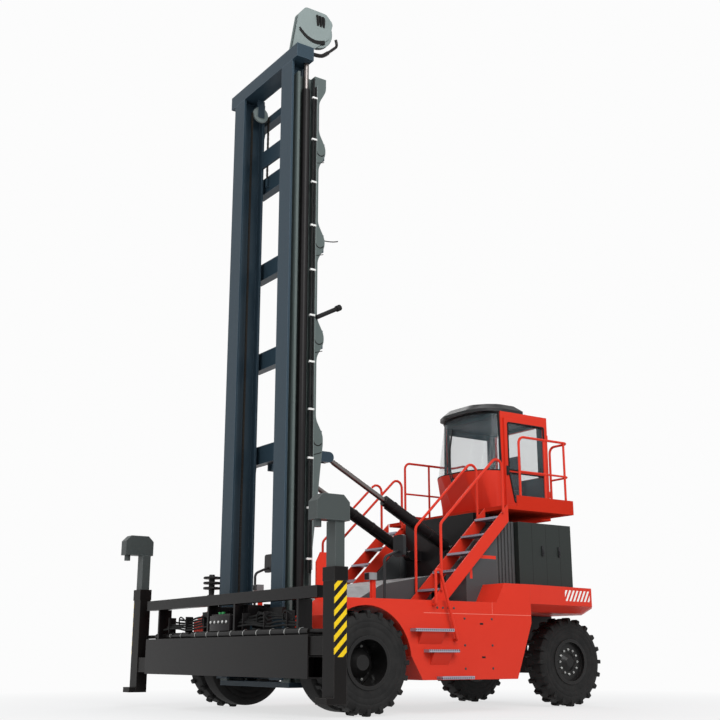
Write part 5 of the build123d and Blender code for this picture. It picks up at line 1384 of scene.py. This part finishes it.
@dataclass
class Spreader:
    """Hoses, pipes, clamps and fittings along the spreader."""

    fitter: Fitter
    reach: float = 2.05
    deck: float = 1.030
    hose_count: int = 5
    hose_y: float = -2.90
    hose_mm: float = 15.0
    # The long hoses sag and wander a little between their clamps.
    hose_spans: int = 10
    hose_sag: float = 0.035
    hose_wander: float = 0.012
    loop_places: tuple[float, ...] = (-1.55, -0.75, 0.9, 1.6)
    loop: tuple[Point, ...] = ((0.0, 0.0, 0.18), (0.06, -0.05, 0.30), (0.20, -0.06, 0.33), (0.31, 0.0, 0.20))
    loop_mm: float = 11.0
    pipe_y: float = -2.805
    pipe_heights: Pair = (0.012, 0.036)
    pipe_mm: float = 10.0
    clamp_count: int = 7
    clamp_step: float = 0.6
    band_count: int = 9
    band_step: float = 0.37
    band_start: float = 0.75
    barrel_radius: float = 0.050
    barrel_front: float = -2.980
    barrel_back: float = -2.870
    barrel_z: float = 1.070
    roller_foot: Point = (-0.45, -2.93, 1.629)
    roller_rise: float = 0.090
    roller_pitch: float = 0.075
    roller_radius: float = 0.125
    valve_x: float = 0.30
    valve_y: Pair = (-3.020, -2.94)
    port_count: int = 5
    port_step: float = 0.12

    def build(self) -> None:
        """Builds the spreader's pieces."""
        self._hoses()
        self._bands()
        self._rollers()
        self._valves()

    def _hoses(self) -> None:
        """Models the long hoses, the loops over them, the pipes behind them and the clamps that hold them."""
        hoses = []
        for i in range(self.hose_count):
            end = self.reach - 0.1 * i
            y = self.hose_y - 0.03 + 0.02 * i
            lift = self.deck + 0.14 + 0.036 * i
            points = [(-end, y, lift)]
            for k in range(1, self.hose_spans):
                points.append((-end + k * 2 * end / self.hose_spans,
                               y + self.hose_wander * math.sin(1.7 * k + i),
                               lift + self.hose_sag * math.sin(2.1 * k + 0.8 * i)))
            hoses.append(hose([*points, (end, y, lift - 0.02)], self.hose_mm))
        for x in self.loop_places:
            route = [(x + along, self.hose_y + out, self.deck + up) for along, out, up in self.loop]
            hoses.append(hose(route, self.loop_mm))
        self.fitter.fit(joined(hoses), "spreader_hoses", "seal", "spreader", "tyre_rubber")
        stations = (-self.reach, -1.0, 1.0, self.reach)
        pipes = [hose([(x, self.pipe_y, self.deck + h) for x in stations], self.pipe_mm)
                 for h in self.pipe_heights]
        self.fitter.fit(joined(pipes), "spreader_pipes", "zinc", "spreader", "chain_steel")
        clamp = slab((-self.reach + 0.2, self.hose_y - 0.050, self.deck + 0.085),
                     (-self.reach + 0.214, self.hose_y + 0.075, self.deck + 0.320))
        clamps = repeated(clamp, self.clamp_count, (self.clamp_step, 0, 0))
        self.fitter.fit(clamps, "spreader_clamps", "black_paint", "spreader", "black_paint")

    def _bands(self) -> None:
        """Models the bright bands round the two extension barrels."""
        band = hoop(self.barrel_radius, 0.006, 0.005, 32)
        rows = [repeated(copied(band, (-sign * self.band_start, y, self.barrel_z)), self.band_count,
                         (sign * self.band_step, 0, 0))
                for y, sign in ((self.barrel_front, 1), (self.barrel_back, -1))]
        bpy.data.objects.remove(band)
        self.fitter.fit(joined(rows), "spreader_bands", "zinc", "spreader", "chain_steel")

    def _rollers(self) -> None:
        """Models the stack of three hose rollers on the chord's right half."""
        profile = [(0.0, 0.060), (0.012, 0.060), (0.013, 0.040)]
        rim = self.roller_radius
        for i in range(3):
            foot = self.roller_rise + i * self.roller_pitch
            profile += [(foot, 0.045), (foot + 0.001, rim - 0.008), (foot + 0.009, rim), (foot + 0.027, rim),
                        (foot + 0.035, rim - 0.008), (foot + 0.036, 0.045)]
        profile.append((profile[-1][0] + 0.03, 0.040))
        stack = placed(turned(profile, 32), self.roller_foot, "y", -math.pi / 2)
        self.fitter.fit(stack, "hose_rollers", "black_paint", "spreader", "black_paint")

    def _valves(self) -> None:
        """Models the valve block in the middle with its ports and coloured caps."""
        top = self.deck + 0.30
        front, back = self.valve_y
        block = slab((-self.valve_x, front, self.deck + 0.085), (self.valve_x, back, top), 8)
        raise_faces(block, lambda co: co.z > top - MM, 0.015, (0, 0, 0.02))
        self.fitter.fit(block, "spreader_valve", "black_paint", "spreader", "black_paint")
        port = placed(turned([(0.0, 0.022), (0.018, 0.022), (0.024, 0.017)], 12),
                      (-self.port_step * 2, front + 0.002, self.deck + 0.21), "z", -math.pi / 2)
        ports = repeated(port, self.port_count, (self.port_step, 0, 0))
        self.fitter.fit(ports, "spreader_ports", "zinc", "spreader", "chain_steel")
        cap = slab((-0.07, -3.0, top + 0.018), (-0.03, -2.96, top + 0.05), 6)
        caps = repeated(cap, 2, (0.1, 0, 0))
        self.fitter.fit(caps, "spreader_caps", "green_cap", "spreader", "cab_plastic")


@dataclass
class Cab:
    """Window seals, wiper, door handle, trim panels and the padded seat of the cab."""

    fitter: Fitter
    seal_mm: float = 13.0
    nose: tuple[Pair, ...] = ((0.742, 1.790), (0.742, 1.700), (0.636, 1.505), (0.320, 1.345))
    post_y: float = 1.782
    glass_front: float = 1.322
    glass_lean: float = 0.17
    glass_foot: float = 3.770
    glass_head: float = 4.800
    door_x: float = 0.794
    door_y: Pair = (1.915, 2.745)
    door_slant: float = 0.110
    door_upper: Pair = (3.795, 4.605)
    door_lower: Pair = (3.255, 3.745)
    seal_corner: float = 0.06
    wiper_x: float = -0.02
    wiper_foot: float = 3.67
    blade_z: float = 4.25
    blade_shift: float = -0.12
    lining_x: float = 0.700
    lining_front: float = 1.80
    lining_back: float = 2.820
    pad: float = 0.12
    pad_crown: float = 0.014
    pad_top: float = 0.450
    base_half: float = 0.18

    def build(self) -> None:
        """Builds the cab's pieces."""
        self._seals()
        self._door()
        self._wiper()
        self._lining()
        self._seat()

    def _seals(self) -> None:
        """Models the black rubber round the windscreen."""
        lean = self.glass_lean * (self.glass_head - self.glass_foot)
        runs = []
        for z, shift in ((self.glass_foot + 0.010, 0.0), (self.glass_head - 0.014, lean)):
            half = [(x, min(y + shift, self.nose[0][1]), z) for x, y in self.nose]
            runs.append(hose(half + [(-x, y, h) for x, y, h in reversed(half)], self.seal_mm))
        for side in Side:
            post = ((0.742, self.glass_foot), (0.738, 4.2), (0.715, self.glass_head))
            runs.append(hose([(side.value * x, self.post_y, z) for x, z in post], self.seal_mm + 5))
        self.fitter.fit(joined(runs), "windscreen_seal", "seal", "chassis", "cab_plastic")

    def _loop(self, corners: list[Pair]) -> Piece:
        """Models a rubber seal round one window of the door, with tight corners.

        Args:
            corners: Corners (y, z) of the window.

        Returns:
            The seal.
        """
        points = []
        for i, (y, z) in enumerate(corners):
            for to_y, to_z in (corners[i - 1], (y, z), corners[(i + 1) % len(corners)]):
                share = self.seal_corner / (math.hypot(to_y - y, to_z - z) or 1.0)
                points.append((self.door_x, y + (to_y - y) * share, z + (to_z - z) * share))
        return hose(points, self.seal_mm, cyclic=True)

    def _door(self) -> None:
        """Models the seals of the door's two windows and its handle."""
        front, back = self.door_y
        loops = [self._loop([(front + slant, foot), (front, head), (back, head), (back, foot)])
                 for slant, (foot, head) in ((0.0, self.door_upper), (self.door_slant, self.door_lower))]
        self.fitter.fit(joined(loops), "door_seals", "seal", "cab_door", "cab_plastic")
        x = self.door_x
        handle = slab((x - 0.004, 1.855, 3.70), (x + 0.018, 1.895, 3.86), 6)
        lever = hose([(x + 0.012, 1.875, 3.84), (x + 0.045, 1.875, 3.83), (x + 0.048, 1.872, 3.72),
                      (x + 0.012, 1.87, 3.70)], 9)
        self.fitter.fit(joined([handle, lever]), "door_handle", "cab_plastic", "cab_door", "cab_plastic")

    def _glass_y(self, z: float) -> float:
        """Gives the windscreen's front at one height."""
        return self.glass_front + self.glass_lean * (z - self.glass_foot)

    def _wiper(self) -> None:
        """Models the wiper with its two arms and its blade on the windscreen."""
        x = self.wiper_x
        tip = x + self.blade_shift
        blade_y = self._glass_y(self.blade_z)
        arms = [hose([(x + d, 1.345, self.wiper_foot), (x + d, self._glass_y(3.77) - 0.02, 3.76),
                      (x + self.blade_shift / 2 + d, self._glass_y(4.0) - 0.02, 4.0),
                      (tip + d, blade_y - 0.006, self.blade_z)], 9) for d in (-0.025, 0.025)]
        blade = placed(slab((-0.012, -0.010, -0.34), (0.012, 0.016, 0.34)),
                       (tip, blade_y + 0.004, self.blade_z), "x", -math.atan(self.glass_lean))
        base = placed(turned([(0.0, 0.042), (0.02, 0.042), (0.03, 0.032)], 20), (x, 1.365, self.wiper_foot),
                      "z", -math.pi / 2)
        self.fitter.fit(joined([*arms, blade, base]), "wiper", "cab_plastic", "chassis", "cab_plastic")

    def _lining(self) -> None:
        """Models the dark trim panels on the roof, posts and rear wall inside the cab."""
        x = self.lining_x
        front = self.lining_front
        back = self.lining_back
        across = (-x + 0.005, x - 0.005)
        right = (-x + 0.001, -x + 0.012)
        rear = (back - 0.016, back - 0.001)
        boxes = [(across, (front, back - 0.01), (4.714, 4.729)),
                 (across, rear, (3.14, 3.762)),
                 (across, rear, (4.660, 4.712)),
                 (right, (front, back - 0.02), (4.610, 4.712)),
                 (right, (front, 1.86), (3.20, 4.605)),
                 (right, (2.75, back - 0.02), (3.20, 4.605)),
                 (across, (1.774, 1.789), (4.725, 4.796)),
                 ((x - 0.012, x - 0.001), (front, 1.838), (3.20, 4.68))]
        panels = [slab(*Side.LEFT.box(*box), 3) for box in boxes]
        for side in Side:
            panels.append(slab(*side.box((x + 0.001, x + 0.034), (1.776, 1.789), (3.785, 4.790)), 3))
            panels.append(slab(*side.box((0.556, x - 0.005), rear, (3.770, 4.655)), 3))
        self.fitter.fit(joined(panels), "cab_lining", "lining", "chassis", "cab_plastic")

    def _cushion(self, low: Point, high: Point) -> Piece:
        """Models one padded piece as a crowned closed form with two pulled-in seams.

        Args:
            low: Lowest corner.
            high: Highest corner.

        Returns:
            The cushion.
        """
        pad = slab(low, high, 28, 3)
        middle = [(a + b) / 2 for a, b in zip(low, high)]
        size = [b - a for a, b in zip(low, high)]
        activate(pad, edit=True)
        bpy.ops.mesh.subdivide(number_cuts=4)
        begin()
        thin = size.index(min(size))
        for vertex in pad.data.vertices:
            share = [2 * (vertex.co[a] - middle[a]) / size[a] for a in range(3)]
            across, along = (share[a] for a in range(3) if a != thin)
            dome = (1 - across ** 2) * (1 - along ** 2)
            seam = 0.4 * math.exp(-((abs(across) - 0.62) / 0.06) ** 2)
            vertex.co[thin] -= self.pad_crown * (1 - dome + seam) * share[thin]
        smooth = pad.modifiers.new("smooth", "SUBSURF")
        smooth.levels = 1
        smooth.render_levels = 1
        activate(pad)
        bpy.ops.object.modifier_apply(modifier="smooth")
        return pad

    def _seat(self) -> None:
        """Models the operator's seat: padded cushion and backrest on a base."""
        low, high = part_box("seat")
        top = low[2] + self.pad_top
        cushion = self._cushion((low[0], low[1], top - self.pad), (high[0], high[1] - 0.02, top))
        rest = self._cushion((low[0], high[1] - self.pad, top), (high[0], high[1], high[2]))
        self.fitter.fit(cushion, "seat_cushion", "seat_fabric", "chassis", "seat_fabric")
        self.fitter.fit(rest, "seat_backrest", "seat_fabric", "chassis", "seat_fabric")
        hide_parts("seat")
        middle = (low[1] + high[1]) / 2
        half = self.base_half
        base = slab((-half, middle - half, low[2]), (half, middle + half, top - self.pad - 0.005), 20)
        pick(base, "VERT", lambda co: co.z > low[2] + 0.2)
        bpy.ops.transform.resize(value=(1.15, 1.15, 1), center_override=(0, middle, top))
        begin()
        self.fitter.fit(base, "seat_base", "cab_plastic", "chassis", "cab_plastic")


@dataclass
class Bodywork:
    """Bolts, painted shade in the pull slots, latches and lamp bezels on the body."""

    fitter: Fitter
    side_x: float = 1.980
    battery_x: float = 1.540
    bolt_columns: Pair = (-0.127, 0.387)
    bolt_rows: tuple[float, ...] = (0.60, 0.92, 1.29)
    fender_bolt: Pair = (-0.62, 1.43)
    fender_bolt_count: int = 4
    fender_bolt_step: float = 0.10
    slot_places: tuple[Pair, ...] = ((0.19, 1.22), (0.215, 0.755))
    slot_half: Pair = (0.032, 0.013)
    latch_step: float = 0.36
    bezel_half: Pair = (0.056, 0.046)
    bezel_inset: Pair = (0.060, 0.050)

    def build(self) -> None:
        """Builds the bodywork's small pieces for both sides."""
        head = turned([(0.0, 0.017), (0.007, 0.016), (0.011, 0.010)], 12)
        x = self.side_x - MM
        heads = [copied(head, (x, y, z)) for y in self.bolt_columns for z in self.bolt_rows]
        heads.append(repeated(placed(head, (x, *self.fender_bolt)), self.fender_bolt_count,
                              (0, self.fender_bolt_step, 0)))
        self.fitter.fit_pair(joined(heads), "body_bolts", "lining", "chassis", "chain_steel")
        wide, high = self.slot_half
        # Black pads over the pull slots: painted shade in their hollows.
        slots = [slab((self.side_x - 0.003, y - wide, z - high), (self.side_x + 0.003, y + wide, z + high), 2)
                 for y, z in self.slot_places]
        self.fitter.fit_pair(joined(slots), "body_slots", "seal", "chassis", "cab_plastic")
        latch = slab((self.battery_x - 0.004, 1.86, 2.30), (self.battery_x + 0.022, 1.90, 2.46), 6)
        lever = slab((self.battery_x + 0.015, 1.87, 2.33), (self.battery_x + 0.034, 1.89, 2.40))
        latches = repeated(joined([latch, lever]), 2, (0, self.latch_step, 0))
        self.fitter.fit_pair(latches, "battery_latches", "cab_plastic", "chassis", "cab_plastic")
        self._bezels()

    def _bezels(self) -> None:
        """Models the black bezels of the work lamps."""
        low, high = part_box("lamps")
        x = high[0] - self.bezel_inset[0]
        z = high[2] - self.bezel_inset[1]
        wide, tall = self.bezel_half
        front = low[1] - 0.010
        bezel = slab((x - wide, front, z - tall), (x + wide, low[1] + 0.012, z + tall), 10, 3)
        raise_faces(bezel, lambda co: co.y < front + 0.0005, 0.010, (0, 0.008, 0))
        self.fitter.fit_pair(bezel, "work_lamp_bezel", "cab_plastic", "chassis", "cab_plastic")


@dataclass
class Paintwork:
    """Finishes of the CAD nodes, with the stripes that the paint carries and the highlights painted along the
    body's seams.
    """

    frame: dict[str, Any]
    finishes: Finishes
    # The columns take a darker copy of the side plates' grey as painted shade, the guard a paler copy as a
    # painted highlight.
    special: dict[str, str] = field(default_factory=lambda: {
        "outer_rails": "side_plate_grey", "column_left": "head_grey", "column_right": "head_grey",
        "sheaves": "guard_grey", "platform": "grip_red", "spreader_frame": "spreader_black",
        "carriage": "spreader_black"})
    hazard_yellow: str = "#E8C21C"
    hazard_black: str = "#121214"
    post_black: str = "#0F0D0D"
    stripe_white: str = "#F1EFEA"
    seam_pale: str = "#E4796A"
    gap_black: str = "#0C0E0D"
    panel_lines: tuple[float, ...] = (1.66, 1.96, 2.26)

    def build(self) -> None:
        """Gives every node the finish of its slot or its special one, then lays the stripes."""
        for row in self.frame["record"]["subparts"]:
            finish = self.special.get(row["node"], row["material_slot"])
            self._paint(row["node"], self.finishes.get(finish))
        kinds = self.finishes.kinds
        red = kinds["body_paint"]
        tail, corner, lines = [], [], []
        for side in Side:
            sleeve = StripeField(*side.box((3.03, 3.06), (-3.06, -2.83), (0.758, 1.659)), self.hazard_yellow,
                                 150.0, -1.0, self.hazard_black)
            post = replace(kinds["black_paint"], name=f"post_enamel_{side.word}", colour=self.post_black,
                           specular=0.08, dust=0.02, stripes=(sleeve,))
            self._paint(f"extension_{side.word}", post.build())
            skin = (1.97, 1.99)
            # Pale lines along the body's seams: painted highlights.
            seams = (StripeField(*side.box(skin, (-0.86, 1.17), (1.352, 1.360)), self.seam_pale),
                     StripeField(*side.box(skin, (0.40, 0.406), (1.360, 1.815)), self.seam_pale))
            panel = replace(red, name=f"body_enamel_{side.word}", stripes=seams)
            self._paint(f"body_{side.word}", panel.build())
            tail.append(StripeField(*side.box((1.60, 1.95), (2.02, 2.66), (1.60, 1.765)), self.stripe_white,
                                    150.0, -1.6))
            for y, z in (((0.40, 0.45), (1.90, 2.26)), ((0.40, 0.93), (2.21, 2.26))):
                corner.append(StripeField(*side.box((1.49, 1.51), y, z), red.colour))
            for y in self.panel_lines:
                gap = side.box((1.53, 1.55), (y, y + 0.008), (1.815, 2.815))
                lines.append(StripeField(*gap, self.gap_black))
        striped = (("tail", red, "tail_enamel", tail),
                   ("service_covers", kinds["cover_paint"], "cover_enamel", corner),
                   ("battery", kinds["battery_paint"], "battery_housing_enamel", lines))
        for node, coat, name, stripes in striped:
            self._paint(node, replace(coat, name=name, stripes=tuple(stripes)).build())

    def _paint(self, node: str, material: Material) -> None:
        """Gives one CAD node its material.

        Args:
            node: Name of the node.
            material: Its material.
        """
        slots = self.frame["nodes"][node].data.materials
        slots.clear()
        slots.append(material)


def main() -> None:
    """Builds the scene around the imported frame."""
    logging.basicConfig(level=logging.INFO)
    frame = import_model()
    finishes = Finishes()
    fitter = Fitter(finishes)
    Paintwork(frame, finishes).build()
    for assembly in (Wheels(fitter), Mast(fitter), Spreader(fitter), Cab(fitter), Bodywork(fitter)):
        assembly.build()
    Studio().build()
    bpy.context.scene.view_settings.view_transform = "Standard"


if __name__ == "__main__":
    main()
